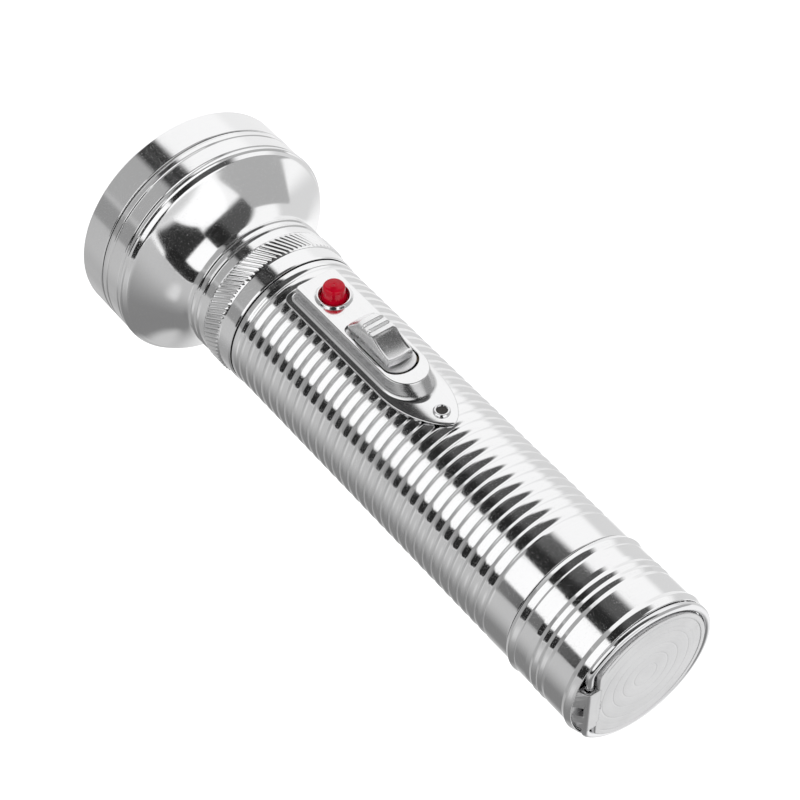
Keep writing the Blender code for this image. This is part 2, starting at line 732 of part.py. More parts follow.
def dry_cell(name, front):
    """One dry cell: a steel can with its base at the rear, the mix, and the cap with its nub."""
    rear = front + CELL_LENGTH
    mouth = front + CELL_NUB_HEIGHT
    inner = CELL_RADIUS - CELL_CAN_WALL
    cap_radius = inner - SEAT_GAP
    cap_rear = mouth + CELL_SEAL_DEPTH
    mix_front = cap_rear + SEAT_GAP
    mix_rear = rear - CELL_CAN_WALL - SEAT_GAP
    can = [
        (0, rear),
        (CELL_RADIUS, rear),
        (CELL_RADIUS, mouth),
        (inner, mouth),
        (inner, rear - CELL_CAN_WALL),
        (0, rear - CELL_CAN_WALL),
    ]
    cap = [
        (0, front),
        (CELL_NUB_RADIUS, front),
        (CELL_NUB_RADIUS, mouth),
        (cap_radius, mouth),
        (cap_radius, cap_rear),
        (0, cap_rear),
    ]
    mix = [(0, mix_front), (cap_radius, mix_front), (cap_radius, mix_rear), (0, mix_rear)]
    turned(f"{name}_can", can, STEEL, TUBE_SEGMENTS)
    turned(f"{name}_cap", cap, STEEL, TUBE_SEGMENTS)
    turned(f"{name}_mix", mix, CARBON, TUBE_SEGMENTS)


def rib_profile():
    """Outer line of the pressed rings: flat crests with a groove before each and at the end."""
    pitch = (RIBS_REAR - RIBS_FRONT) / RIB_COUNT
    half_groove = pitch * GROOVE_SHARE / 2
    points = []
    for i in range(RIB_COUNT + 1):
        groove = RIBS_FRONT + pitch * i
        points.append((CREST_RADIUS, groove - half_groove))
        points.append((TUBE_RADIUS - RIB_DEPTH, groove))
        points.append((CREST_RADIUS, groove + half_groove))
    return points


def body_tube():
    """Barrel tube with pressed rings, a threaded sleeve at each end and the switch's window."""
    outside = [
        (SLEEVE_RADIUS, SLEEVE_FRONT),
        (SLEEVE_RADIUS, TUBE_FRONT),
        (TUBE_RADIUS, TUBE_FRONT),
        *rib_profile(),
        (TUBE_RADIUS, TUBE_REAR),
        (SLEEVE_RADIUS, TUBE_REAR),
        (SLEEVE_RADIUS, SLEEVE_REAR),
    ]
    inside = [(BORE_RADIUS, SLEEVE_REAR), (BORE_RADIUS, SLEEVE_FRONT)]
    tube = turned("body_tube", outside + inside, ALUMINIUM, TUBE_SEGMENTS)
    window = [
        (-WINDOW_HALF_WIDTH, WINDOW_FRONT),
        (WINDOW_HALF_WIDTH, WINDOW_FRONT),
        (WINDOW_HALF_WIDTH, WINDOW_FRONT + WINDOW_LENGTH),
        (-WINDOW_HALF_WIDTH, WINDOW_FRONT + WINDOW_LENGTH),
    ]
    high = CREST_RADIUS + CUT_OVERRUN
    low = BORE_RADIUS - CUT_OVERRUN
    combine(tube, flat_piece("window_cut", window, FRONT_VIEW, low, high, None, True), "DIFFERENCE")
    combine(tube, rivet_hole("tube_rivet_cut"), "DIFFERENCE")
    return tube


def rivet_hole(name):
    """Cutter for the rivet's shank, through the cover and the tube."""
    radius = RIVET_SHANK_RADIUS + SEAT_GAP
    high = COVER_OUTER + CUT_OVERRUN
    low = BORE_RADIUS - CUT_OVERRUN * 2
    profile = [(0, high), (radius, high), (radius, low), (0, low)]
    return face_switch(turned(name, profile, None, SMALL_SEGMENTS, True), RIVET_STATION)


def flange_outline():
    """Plan of the cover's flange: straight sides that taper in a full curve to the tip.

    Behind the straight part, the width falls as a power of one less the square of
    the share of the way to the tip.
    """
    start = COVER_REAR - COVER_TAPER_LENGTH
    side = []
    for i in range(COVER_TAPER_STEPS):
        share = math.sin(math.pi / 2 * i / COVER_TAPER_STEPS)
        width = COVER_HALF_WIDTH * (1 - share**2) ** COVER_TAPER_POWER_SHARE
        side.append((width, start + COVER_TAPER_LENGTH * share))
    right = [(COVER_HALF_WIDTH, COVER_FRONT), *side]
    left = [(-x, z) for x, z in reversed(right)]
    return [*right, (0, COVER_REAR), *left]


def boss_sections(inset, low, top):
    """Outlines of the raised boss from its foot up to its top, each moved in by the inset."""
    front = BOSS_FRONT + inset
    corner = BOSS_CORNER
    shoulder = COVER_OUTER + (top - COVER_OUTER) * BOSS_SHOULDER_SHARE
    top_front = BOSS_FRONT + BOSS_TOP_INSET

    def outline(half_width, start, length, reach):
        return boat_outline(half_width - inset, start + inset, length - inset * 2, reach, corner)

    middle_half_width = BOSS_BASE_HALF_WIDTH + (BOSS_TOP_HALF_WIDTH - BOSS_BASE_HALF_WIDTH) * (
        BOSS_SHOULDER_SHARE
    )
    middle_front = BOSS_FRONT + BOSS_TOP_INSET * BOSS_SHOULDER_SHARE
    middle_end = BOSS_BASE_LENGTH + (BOSS_TOP_LENGTH - BOSS_BASE_LENGTH) * BOSS_SHOULDER_SHARE**2
    base = outline(BOSS_BASE_HALF_WIDTH, front - inset, BOSS_BASE_LENGTH, BOSS_BASE_ROUND)
    return [
        (low, base),
        (COVER_OUTER - BOSS_FOOT_DROP, base),
        (
            shoulder,
            outline(
                middle_half_width,
                middle_front,
                middle_end - BOSS_TOP_INSET * BOSS_SHOULDER_SHARE,
                BOSS_BASE_ROUND,
            ),
        ),
        (
            top - BOSS_EDGE,
            outline(
                BOSS_TOP_HALF_WIDTH + BOSS_EDGE / 2,
                top_front - BOSS_EDGE / 2,
                BOSS_TOP_LENGTH + BOSS_EDGE,
                BOSS_TOP_ROUND + BOSS_EDGE / 2,
            ),
        ),
        (top, outline(BOSS_TOP_HALF_WIDTH, top_front, BOSS_TOP_LENGTH, BOSS_TOP_ROUND)),
    ]


def slot_outline(front, clearance):
    """Plan of the slot in the boss from the given front, smaller by the clearance elsewhere."""
    return boat_outline(
        SLOT_HALF_WIDTH - clearance,
        front,
        SLOT_REAR - clearance - front,
        SLOT_ROUND - clearance,
        BOSS_CORNER / 2,
    )


def switch_cover():
    """Stamped cover: a flange wrapped on the tube, a hollow boss, a slot and a pressed collar."""
    facets = LARGE_SEGMENTS * 2

    def drum(name, radius, overrun, as_cutter):
        front = COVER_FRONT - overrun
        rear = COVER_REAR + overrun
        profile = [(0, front), (radius, front), (radius, rear), (0, rear)]
        return turned(name, profile, ALUMINIUM, facets, as_cutter)

    cover = drum("switch_cover", COVER_OUTER, CUT_OVERRUN, False)
    reach = BOSS_OUTER + CUT_OVERRUN
    depth = BORE_RADIUS - CUT_OVERRUN
    plan = flat_piece("flange_plan", flange_outline(), FRONT_VIEW, depth, reach, None, True)
    combine(cover, plan, "INTERSECT")
    combine(cover, rivet_hole("cover_rivet_cut"), "DIFFERENCE")
    outer = boss_sections(0, BORE_RADIUS - SHOULDER_STEP, BOSS_OUTER)
    combine(cover, loft("boss_outside", outer, None, True), "UNION")
    collar = [
        (BUTTON_HOLE - SEAT_GAP, BOSS_INNER + SEAT_GAP / 2),
        (BUTTON_HOLE - SEAT_GAP, BOSS_OUTER + COLLAR_RISE / 2),
        (BUTTON_HOLE + COLLAR_WIDTH / 3, BOSS_OUTER + COLLAR_RISE),
        (BUTTON_HOLE + COLLAR_WIDTH * 2 / 3, BOSS_OUTER + COLLAR_RISE * 2 / 3),
        (BUTTON_HOLE + COLLAR_WIDTH, BOSS_INNER + SEAT_GAP / 2),
    ]
    collar_ring = turned("collar_ring", collar, None, SMALL_SEGMENTS, True)
    combine(cover, face_switch(collar_ring, BUTTON_STATION), "UNION")
    inner = boss_sections(COVER_SHEET, BORE_RADIUS - SHOULDER_STEP * 2, BOSS_INNER)
    combine(cover, loft("boss_inside", inner, None, True), "DIFFERENCE")
    combine(cover, drum("under_cover", COVER_INNER, CUT_OVERRUN * 2, True), "DIFFERENCE")
    middle = (BOSS_INNER + CARRIAGE_LOW) / 2
    slot = flat_piece("slot_cut", slot_outline(SLOT_FRONT, 0), FRONT_VIEW, middle, reach, None, True)
    combine(cover, slot, "DIFFERENCE")
    hole = [(0, reach), (BUTTON_HOLE, reach), (BUTTON_HOLE, middle), (0, middle)]
    hole_cut = turned("button_cut", hole, None, SMALL_SEGMENTS, True)
    combine(cover, face_switch(hole_cut, BUTTON_STATION), "DIFFERENCE")
    return cover


def switch_insulator():
    """Fibre plate that keeps the contact strip off the tube."""
    shoulder = INSULATOR_REAR - INSULATOR_HALF_WIDTH
    outline = [
        (-INSULATOR_HALF_WIDTH, INSULATOR_FRONT),
        (INSULATOR_HALF_WIDTH, INSULATOR_FRONT),
        (INSULATOR_HALF_WIDTH, shoulder),
        (INSULATOR_HALF_WIDTH / 2, INSULATOR_REAR),
        (-INSULATOR_HALF_WIDTH / 2, INSULATOR_REAR),
        (-INSULATOR_HALF_WIDTH, shoulder),
    ]
    return flat_piece(
        "switch_insulator", outline, FRONT_VIEW, INSULATOR_LOW, INSULATOR_HIGH, FIBRE
    )


def contact_strip():
    """Bent brass strip: along the bore, up through the window and back under the button."""
    outline = [
        (STRIP_FRONT, STRIP_INNER),
        (STRIP_RISER + STRIP_THICKNESS, STRIP_INNER),
        (STRIP_RISER + STRIP_THICKNESS, STRIP_LOW),
        (STRIP_REAR, STRIP_LOW),
        (STRIP_REAR, STRIP_HIGH),
        (STRIP_RISER, STRIP_HIGH),
        (STRIP_RISER, STRIP_INNER + STRIP_THICKNESS),
        (STRIP_FRONT, STRIP_INNER + STRIP_THICKNESS),
    ]
    return flat_piece(
        "contact_strip", outline, SIDE_VIEW, -STRIP_HALF_WIDTH, STRIP_HALF_WIDTH, BRASS
    )


def slider():
    """Thumb piece with two grip ridges and a dished face, on a tongue that fills the slot."""
    front = SLOT_FRONT - SLIDER_OFFSET
    side = []
    for along_share, height_share in THUMB_OUTLINE_SHARES:
        side.append((front + SLIDER_LENGTH * along_share, SLIDER_LOW + SLIDER_HEIGHT * height_share))
    reach = SLIDER_HALF_WIDTH + CUT_OVERRUN
    thumb = flat_piece("slider", side, SIDE_VIEW, -reach, reach, ALUMINIUM)
    tilt = SLIDER_HALF_WIDTH - SLIDER_TOP_HALF_WIDTH
    top = SLIDER_LOW + SLIDER_HEIGHT + CUT_OVERRUN
    low = SLIDER_LOW - CUT_OVERRUN
    slope = tilt / SLIDER_HEIGHT
    rear = SLOT_REAR + CUT_OVERRUN
    wedge = []
    for height in (low, top):
        width = SLIDER_HALF_WIDTH - (height - SLIDER_LOW) * slope
        corners = [
            (-width, front - CUT_OVERRUN),
            (width, front - CUT_OVERRUN),
            (width, rear),
            (-width, rear),
        ]
        wedge.append((height, corners))
    combine(thumb, loft("thumb_sides", wedge, None, True), "INTERSECT")
    start = SLOT_FRONT + SLIDER_TRAVEL + SEAT_GAP
    tongue = slot_outline(start, SEAT_GAP)
    tongue_piece = flat_piece(
        "slider_tongue", tongue, FRONT_VIEW, BOSS_INNER, BOSS_OUTER, None, True
    )
    combine(thumb, tongue_piece, "UNION")
    neck_half = SLIDER_TOP_HALF_WIDTH - SLIDER_NECK_WALL
    neck_front = start + SLIDER_NECK_WALL
    neck_rear = front + SLIDER_LENGTH - SLIDER_NECK_WALL
    neck = [
        (-neck_half, neck_front),
        (neck_half, neck_front),
        (neck_half, neck_rear),
        (-neck_half, neck_rear),
    ]
    middle = (BOSS_INNER + BOSS_OUTER) / 2
    high = SLIDER_LOW + SLIDER_NECK_WALL
    neck_piece = flat_piece("slider_neck", neck, FRONT_VIEW, middle, high, None, True)
    combine(thumb, neck_piece, "UNION")
    return thumb


def slider_carriage():
    """Plate under the slot that holds the slider down and carries its contact finger."""
    half_width = SLOT_HALF_WIDTH + CARRIAGE_OVERLAP
    front = SLOT_FRONT + SLIDER_TRAVEL + SEAT_GAP
    rear = SLOT_REAR - SLOT_ROUND / 2
    outline = [(-half_width, front), (half_width, front), (half_width, rear), (-half_width, rear)]
    plate = flat_piece(
        "slider_carriage", outline, FRONT_VIEW, CARRIAGE_LOW, CARRIAGE_HIGH, BRASS
    )
    middle = (front + rear) / 2
    touch = STRIP_HIGH + SEAT_GAP
    root = CARRIAGE_LOW + CARRIAGE_THICKNESS / 2
    finger = [
        (middle - CARRIAGE_FINGER_LENGTH / 2, root),
        (middle, touch),
        (middle + CARRIAGE_FINGER_LENGTH / 2, root),
    ]
    reach = CARRIAGE_FINGER_HALF_WIDTH
    finger_piece = flat_piece("carriage_finger", finger, SIDE_VIEW, -reach, reach, None, True)
    combine(plate, finger_piece, "UNION")
    return plate


def red_button():
    """Signal button: a flange under the boss, tapered sides and a low crown."""
    base = BOSS_OUTER + SEAT_GAP
    shoulder = base + BUTTON_HEIGHT - BUTTON_CROWN
    flange = BUTTON_RADIUS + BUTTON_FLANGE_WIDTH
    profile = [
        (0, BUTTON_LOW),
        (flange, BUTTON_LOW),
        (flange, BUTTON_FLANGE_HIGH),
        (BUTTON_RADIUS, BUTTON_FLANGE_HIGH),
        (BUTTON_RADIUS, base),
    ]
    for i in range(CROWN_STEPS + 1):
        turn = math.pi / 2 * i / CROWN_STEPS
        profile.append(
            (BUTTON_TOP_RADIUS * math.cos(turn), shoulder + BUTTON_CROWN * math.sin(turn))
        )
    profile[-1] = (0, shoulder + BUTTON_CROWN)
    return face_switch(turned("red_button", profile, RED, SMALL_SEGMENTS), BUTTON_STATION)


def switch_rivet():
    """Eyelet that fixes the cover's tip: a rolled head outside, a flat one in the bore."""
    seat = COVER_OUTER + SEAT_GAP
    inside = BORE_RADIUS - SEAT_GAP
    bore_head = inside - RIVET_INNER_HEAD_HEIGHT
    profile = [
        (RIVET_BORE, seat + RIVET_HEAD_HEIGHT / 2),
        ((RIVET_BORE + RIVET_HEAD_RADIUS) / 2, seat + RIVET_HEAD_HEIGHT),
        (RIVET_HEAD_RADIUS, seat + RIVET_HEAD_HEIGHT / 2),
        (RIVET_HEAD_RADIUS, seat),
        (RIVET_SHANK_RADIUS, seat),
        (RIVET_SHANK_RADIUS, inside),
        (RIVET_INNER_HEAD_RADIUS, inside),
        (RIVET_INNER_HEAD_RADIUS, bore_head),
        (RIVET_BORE, bore_head),
    ]
    return face_switch(turned("switch_rivet", profile, BRASS, SMALL_SEGMENTS), RIVET_STATION)


def tail_cap():
    """Screw cap with a rolled mouth, three beads, a rim bead and a sunk end floor."""
    outside = [
        (CAP_RADIUS, CAP_MOUTH),
        (CAP_RADIUS + CAP_LIP_RISE, CAP_MOUTH + CAP_LIP_RISE),
        (CAP_RADIUS + CAP_LIP_RISE, CAP_MOUTH + CAP_LIP_LENGTH),
        (CAP_RADIUS - CAP_LIP_RISE, CAP_MOUTH + CAP_LIP_LENGTH + CAP_LIP_RISE),
        (CAP_RADIUS, CAP_MOUTH + CAP_LIP_LENGTH + CAP_LIP_RISE * 2),
    ]
    beads = CAP_MOUTH + CAP_BEAD_START
    for i in range(CAP_BEAD_COUNT):
        start = beads + CAP_BEAD_PITCH * i
        outside.append((CAP_RADIUS - CAP_BEAD_RISE, start))
        outside.append((CAP_RADIUS + CAP_BEAD_RISE, start + CAP_BEAD_PITCH / 2))
    outside.append((CAP_RADIUS - CAP_BEAD_RISE, beads + CAP_BEAD_PITCH * CAP_BEAD_COUNT))
    rim = CAP_FLOOR_REAR - CAP_RIM_LENGTH
    outside += [
        (CAP_RADIUS, beads + CAP_BEAD_PITCH * CAP_BEAD_COUNT + CAP_BEAD_RISE),
        (CAP_RADIUS, rim),
        (CAP_RADIUS + CAP_RIM_RISE, rim + CAP_RIM_RISE),
        (CAP_RADIUS + CAP_RIM_RISE, CAP_FLOOR_REAR),
        (CAP_RADIUS + CAP_RIM_RISE / 2, CAP_RIM_REAR),
        (CAP_RADIUS - CAP_RIM_RISE, CAP_FLOOR_REAR),
        (0, CAP_FLOOR_REAR),
    ]
    inside = [(0, CAP_FLOOR_FRONT), (CAP_BORE, CAP_FLOOR_FRONT), (CAP_BORE, CAP_MOUTH)]
    profile = [*inside, *outside]
    return turned("tail_cap", profile[::-1], ALUMINIUM)


def lug_frame():
    """Frame of the hang ring: x points out through the lug and y runs along the hinge."""
    return Matrix.Rotation(math.radians(LUG_TURN), 4, "Z")


def ring_path(inset):
    """Plan of the ring in the lug's frame, moved in by the inset, from hinge corner to hinge corner.

    It is a circle about the axis whose two ends turn through a corner arc into the
    hinge line.
    """
    hinge = RING_HINGE_DISTANCE - inset
    corner = RING_CORNER_RADIUS - inset
    corner_x = RING_HINGE_DISTANCE - RING_CORNER_RADIUS
    reach = RING_RADIUS - RING_CORNER_RADIUS
    corner_y = math.sqrt(reach**2 - corner_x**2)
    start = math.atan2(corner_y, corner_x)
    points = [(hinge, corner_y)]
    for i in range(1, RING_CORNER_STEPS + 1):
        turn = start * i / RING_CORNER_STEPS
        points.append((corner_x + corner * math.cos(turn), corner_y + corner * math.sin(turn)))
    for i in range(1, RING_ARC_STEPS):
        turn = start + (math.tau - start * 2) * i / RING_ARC_STEPS
        points.append(((RING_RADIUS - inset) * math.cos(turn), (RING_RADIUS - inset) * math.sin(turn)))
    for i in range(RING_CORNER_STEPS + 1):
        turn = start * (i / RING_CORNER_STEPS - 1)
        points.append((corner_x + corner * math.cos(turn), corner * math.sin(turn) - corner_y))
    return points


def tail_plate():
    """End plate inside the ring, with the lug that the ring's two ends turn in."""
    lug_face = RING_HINGE_DISTANCE + HINGE_BORE + LUG_WALL
    lug_root = RING_HINGE_DISTANCE - HINGE_BORE
    outline = ring_path(HINGE_BORE)
    outline += [
        (lug_root, -LUG_HALF_WIDTH),
        (lug_face, -LUG_HALF_WIDTH),
        (lug_face, LUG_HALF_WIDTH),
        (lug_root, LUG_HALF_WIDTH),
    ]
    plate = flat_piece("tail_plate", outline, Matrix(), PLATE_FRONT, PLATE_REAR, SATIN)
    plate.matrix_world = lug_frame() @ plate.matrix_world
    recess_rear = PLATE_REAR - PLATE_SHEET
    recess_front = PLATE_FRONT - CUT_OVERRUN
    recess = [
        (0, recess_front),
        (PLATE_RECESS_RADIUS, recess_front),
        (PLATE_RECESS_RADIUS, recess_rear),
        (0, recess_rear),
    ]
    combine(plate, turned("plate_recess", recess, None, TUBE_SEGMENTS, True), "DIFFERENCE")
    half_length = LUG_HALF_WIDTH + CUT_OVERRUN
    bore = [
        (0, -half_length),
        (HINGE_BORE, -half_length),
        (HINGE_BORE, half_length),
        (0, half_length),
    ]
    bore_cut = turned("hinge_bore", bore, None, SMALL_SEGMENTS, True)
    along_hinge = Matrix.Rotation(-math.pi / 2, 4, "X")
    seat = Matrix.Translation((RING_HINGE_DISTANCE, 0, HINGE_STATION))
    bore_cut.matrix_world = lug_frame() @ seat @ along_hinge
    combine(plate, bore_cut, "DIFFERENCE")
    window = [
        (RING_HINGE_DISTANCE, -LUG_WINDOW_HALF_WIDTH),
        (lug_face + CUT_OVERRUN, -LUG_WINDOW_HALF_WIDTH),
        (lug_face + CUT_OVERRUN, LUG_WINDOW_HALF_WIDTH),
        (RING_HINGE_DISTANCE, LUG_WINDOW_HALF_WIDTH),
    ]
    low = HINGE_STATION - LUG_WINDOW_HALF_HEIGHT
    high = HINGE_STATION + LUG_WINDOW_HALF_HEIGHT
    window_cut = flat_piece("lug_window", window, Matrix(), low, high, None, True)
    window_cut.matrix_world = lug_frame() @ window_cut.matrix_world
    combine(plate, window_cut, "DIFFERENCE")
    return plate


def hang_ring():
    """Wire ring whose two ends turn in to meet inside the lug. Its origin is on the hinge."""
    frame = lug_frame()
    seat = frame @ Matrix.Translation((RING_HINGE_DISTANCE, 0, HINGE_STATION))
    points = [
        (RING_HINGE_DISTANCE, RING_END_GAP / 2),
        *ring_path(0),
        (RING_HINGE_DISTANCE, -RING_END_GAP / 2),
    ]
    local = [(x - RING_HINGE_DISTANCE, y, 0) for x, y in points]
    ring = wire("hang_ring", local, RING_WIRE_RADIUS, WIRE_STEEL)
    ring.matrix_world = seat
    return ring


def tail_spring():
    """Conical coil from the rear cell out to the cap's floor.

    The turn grows steadily, and the radius and the height grow with it.
    """
    low = CELLS_REAR + SEAT_GAP + SPRING_WIRE_RADIUS
    high = CAP_FLOOR_FRONT - SEAT_GAP - SPRING_WIRE_RADIUS
    share = np.linspace(0, 1, SPRING_CURLS * SPRING_CURL_POINTS + 1)
    turn = share * SPRING_CURLS * math.tau
    radius = SPRING_CELL_RADIUS + (SPRING_CAP_RADIUS - SPRING_CELL_RADIUS) * share
    height = low + (high - low) * share
    points = np.stack([radius * np.cos(turn), radius * np.sin(turn), height], axis=1)
    apart = points[:-SPRING_CURL_POINTS] - points[SPRING_CURL_POINTS:]
    least = np.linalg.norm(apart, axis=1).min() - SPRING_WIRE_RADIUS * 2
    print("tail spring, least gap to itself in metres:", round(float(least), 6))
    return wire("tail_spring", points.tolist(), SPRING_WIRE_RADIUS, STEEL, resolution=1)


clear_scene()
PIECES = new_collection("aluminium_flashlight")
CUTTERS = new_collection("cutters")

ALUMINIUM = new_material("polished_aluminium", (0.86, 0.87, 0.88), 0.12, 1.0)
SATIN = new_material("satin_aluminium", (0.78, 0.79, 0.80), 0.35, 1.0)
WIRE_STEEL = new_material("plated_wire", (0.80, 0.81, 0.82), 0.12, 1.0)
STEEL = new_material("tinned_steel", (0.62, 0.63, 0.64), 0.35, 1.0)
BRASS = new_material("contact_brass", (0.78, 0.61, 0.30), 0.30, 1.0)
MIRROR = new_material("silvered_reflector", (0.92, 0.92, 0.92), 0.05, 1.0)
CLEAR = new_material("clear_glass", (0.90, 0.94, 0.95), 0.03, 0.0)
RED = new_material("red_button", (0.70, 0.01, 0.03), 0.15, 0.0)
RUBBER = new_material("black_rubber", (0.03, 0.03, 0.03), 0.80, 0.0)
FIBRE = new_material("vulcanised_fibre", (0.35, 0.09, 0.05), 0.70, 0.0)
BAKELITE = new_material("black_moulding", (0.04, 0.035, 0.03), 0.35, 0.0)
CARBON = new_material("cell_mix", (0.05, 0.05, 0.05), 0.90, 0.0)

lens_ring()
lens()
lens_gasket()
reflector()
head_shell()
bulb()
bulb_holder()
contact_plate()
centre_contact()
for number, cell_name in enumerate(CELL_COUNT_NAMES):
    dry_cell(cell_name, CELLS_FRONT + CELL_STEP * number)
body_tube()
switch_cover()
switch_insulator()
contact_strip()
slider()
slider_carriage()
red_button()
switch_rivet()
tail_cap()
tail_plate()
hang_ring()
tail_spring()
bpy.context.view_layer.update()
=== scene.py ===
"""A two-cell pocket flashlight of polished aluminium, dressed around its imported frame.

The flashlight stands on its lens ring: +Z runs from the lens to the tail, and the
switch faces -Y. Sizes are in millimetres, and MM turns them into Blender's metres.
"""

import math

import bmesh
import bpy
import numpy as np
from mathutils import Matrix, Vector
from mathutils.geometry import delaunay_2d_cdt


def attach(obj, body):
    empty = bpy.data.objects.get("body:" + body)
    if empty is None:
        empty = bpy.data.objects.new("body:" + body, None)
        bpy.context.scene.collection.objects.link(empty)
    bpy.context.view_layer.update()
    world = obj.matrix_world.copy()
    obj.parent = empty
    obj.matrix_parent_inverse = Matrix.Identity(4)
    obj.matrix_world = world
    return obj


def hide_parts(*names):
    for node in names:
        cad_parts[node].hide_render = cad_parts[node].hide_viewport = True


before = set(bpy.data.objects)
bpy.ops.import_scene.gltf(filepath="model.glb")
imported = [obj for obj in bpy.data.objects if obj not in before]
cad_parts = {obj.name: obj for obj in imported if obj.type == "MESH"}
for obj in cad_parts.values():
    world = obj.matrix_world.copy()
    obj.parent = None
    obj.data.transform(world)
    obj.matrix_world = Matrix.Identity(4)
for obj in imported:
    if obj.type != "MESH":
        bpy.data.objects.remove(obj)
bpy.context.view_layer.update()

MM = 0.001

# Radii of the turned pieces, and the curve of the bell
HEAD_RADIUS = 30.3
HEAD_BORE = 29.5
SLEEVE_RADIUS = 29.2
SLEEVE_BORE = 28.4
NECK_RADIUS = 19.3
BELL_RADIUS = HEAD_RADIUS - 0.9
BELL_POWER = 1.8
NECK_BORE = 18.5
TUBE_RADIUS = 18.9
CREST_RADIUS = 18.98
THREAD_RADIUS = 18.15
THREAD_PITCH = 1.5
BORE_RADIUS = 17.5
CAP_RADIUS = 19.25
CAP_BORE = 18.5

# Stations along the axis, from the lens to the tail
SLEEVE_FRONT = 6.2
SHELL_FRONT = 9.0
BELL_FRONT = 18.6
NECK_FRONT = 30.5
SEAM = 48.0
TUBE_FRONT = 48.35
TUBE_REAR = 153.3
CAP_MOUTH = 153.6
CAP_FLOOR = 174.6
FIRST_CAP_GROOVE = 161.35
CAP_GROOVE_PITCH = 2.1

# Pressed rings of the barrel
FIRST_GROOVE = 50.70
GROOVE_PITCH = 3.13
GROOVE_COUNT = 31
GROOVE_DEPTH = 0.38
GROOVE_RISE = 1.0
GROOVE_POWER = 2.5

# Switch
COVER_SHEET = 0.45
COVER_HEIGHT = 19.78
BOSS_HEIGHT = 22.68
BUTTON_STATION = 63.98
BUTTON_HOLE = 3.5
SLOT_FRONT = 73.5
SLOT_REAR = 93.1
SLOT_EDGE = 0.15
SLOT_RIM = 0.06
EYELET_STATION = 105.1
HOOD_BASE = 23.0
BEAD_STATIONS = (78.75, 80.98)
BEAD_FRONT = 0.38
BEAD_REAR = 0.72
BEAD_HEIGHT = 0.62
BEAD_REACH = 2.75
HOOD_FRONT = 73.3
DISH_FRONT = 83.4
DISH_HEIGHT = 26.95
DISH_CURVE = 12.5
HEEL_LENGTH = 0.55

# Tail plate and hang ring, in the lug's frame: U outwards, W along the hinge
LUG_TURN = 2.0
LUG_FACE = 16.1
LUG_FLARE = 1.8
LUG_ROOT = 12.9
WINDOW_CENTRE = 0.3
LUG_BORE = 1.25
WINDOW_HALF_HEIGHT = 0.95
HINGE_U = 14.8
HINGE_Z = 176.0
PLATE_TOP = 177.8
PLATE_BOTTOM = 174.9
PLATE_UNDER = 177.2
RECESS_ANGLE = 24.8
PLATE_INSET = 1.18
PLATE_BORE = 12.2
PLATE_RINGS = (3.2, 6.4, 9.2, 12.4)
RING_RADIUS = 18.5
RING_CORNER = 3.0
RING_CORNER_U = 11.8
RING_CORNER_W = 10.05
RING_END_GAP = 0.9
RING_WIRE = 0.95
RING_TILT = 1.45

# Spring and lamp
SPRING_FRONT, SPRING_REAR = 164.2, 172.9
SPRING_FRONT_RADIUS, SPRING_REAR_RADIUS = 6.2, 12.5
LENS_RADIUS = 29.2
REFLECTOR_DEPTH = 17.8
REFLECTOR_REAR = 23.1
REFLECTOR_MOUTH = 27.2
REFLECTOR_HOLE = 7.4

# Walls of the switch cover: a darker colour painted on them as shade, and what they add to the sheet's
# roughness
WALL_SHADE_TONE = (0.60, 0.60, 0.605)
WALL_ROUGHNESS = 0.13

# Studio: levels of the world and of the floor's own glow, and the camera's focal length,
# place and turn in degrees about X, Y and Z
WORLD_LEVEL = 0.72
FLOOR_GLOW = 0.55
CAMERA_LENS = 109.7018
CAMERA_PLACE = (237.007, -433.133, 381.978)
CAMERA_TURN = (-49.507, -37.42394, -178.18421)


# Mesh helpers


def grid(points, close_rows=False, close_columns=True):
    """A grid of points with the four-cornered faces between its neighbours, as corner numbers."""
    rows, columns = points.shape[:2]
    numbers = np.arange(rows * columns).reshape(rows, columns)
    if close_rows:
        numbers = np.vstack([numbers, numbers[:1]])
    if close_columns:
        numbers = np.hstack([numbers, numbers[:, :1]])
    corners = [numbers[:-1, :-1], numbers[:-1, 1:], numbers[1:, 1:], numbers[1:, :-1]]
    return points, np.stack(corners, axis=-1).reshape(-1, 4)


def around(radius, turn, station):
    """Points at a radius and an angle round the axis, at their stations."""
    x, y = radius * np.cos(turn), radius * np.sin(turn)
    return np.stack([x, y, np.broadcast_to(station, x.shape)], axis=-1)


def full_turn(segments):
    """Angles of a whole turn in even steps."""
    return np.linspace(0, math.tau, segments, endpoint=False)


def new_mesh(name, *parts, merge=0.0005):
    """A smooth mesh of parts, each points in millimetres and faces, with doubled points merged."""
    points, faces, total = [], [], 0
    for part_points, part_faces in parts:
        points.append(part_points.reshape(-1, 3))
        faces += (part_faces + total).tolist()
        total += len(points[-1])
    mesh = bpy.data.meshes.new(name)
    mesh.from_pydata((np.vstack(points) * MM).tolist(), [], faces)
    work = bmesh.new()
    work.from_mesh(mesh)
    bmesh.ops.remove_doubles(work, verts=work.verts, dist=merge * MM)
    bmesh.ops.recalc_face_normals(work, faces=work.faces)
    work.to_mesh(mesh)
    work.free()
    mesh.shade_smooth()
    return mesh


def flatten(mesh, chosen):
    """Flat shading for the chosen faces, smooth shading for the others."""
    for face in mesh.polygons:
        face.use_smooth = not chosen(face)


def new_object(name, data):
    """An object at the origin, in the scene."""
    thing = bpy.data.objects.new(name, data)
    bpy.context.scene.collection.objects.link(thing)
    return thing


def new_piece(mesh, finish, body, *nodes):
    """An object at the origin that rides on its body and stands for its CAD nodes."""
    piece = new_object(mesh.name, mesh)
    mesh.materials.append(FINISHES[finish])
    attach(piece, body)
    if nodes:
        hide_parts(*nodes)
    return piece


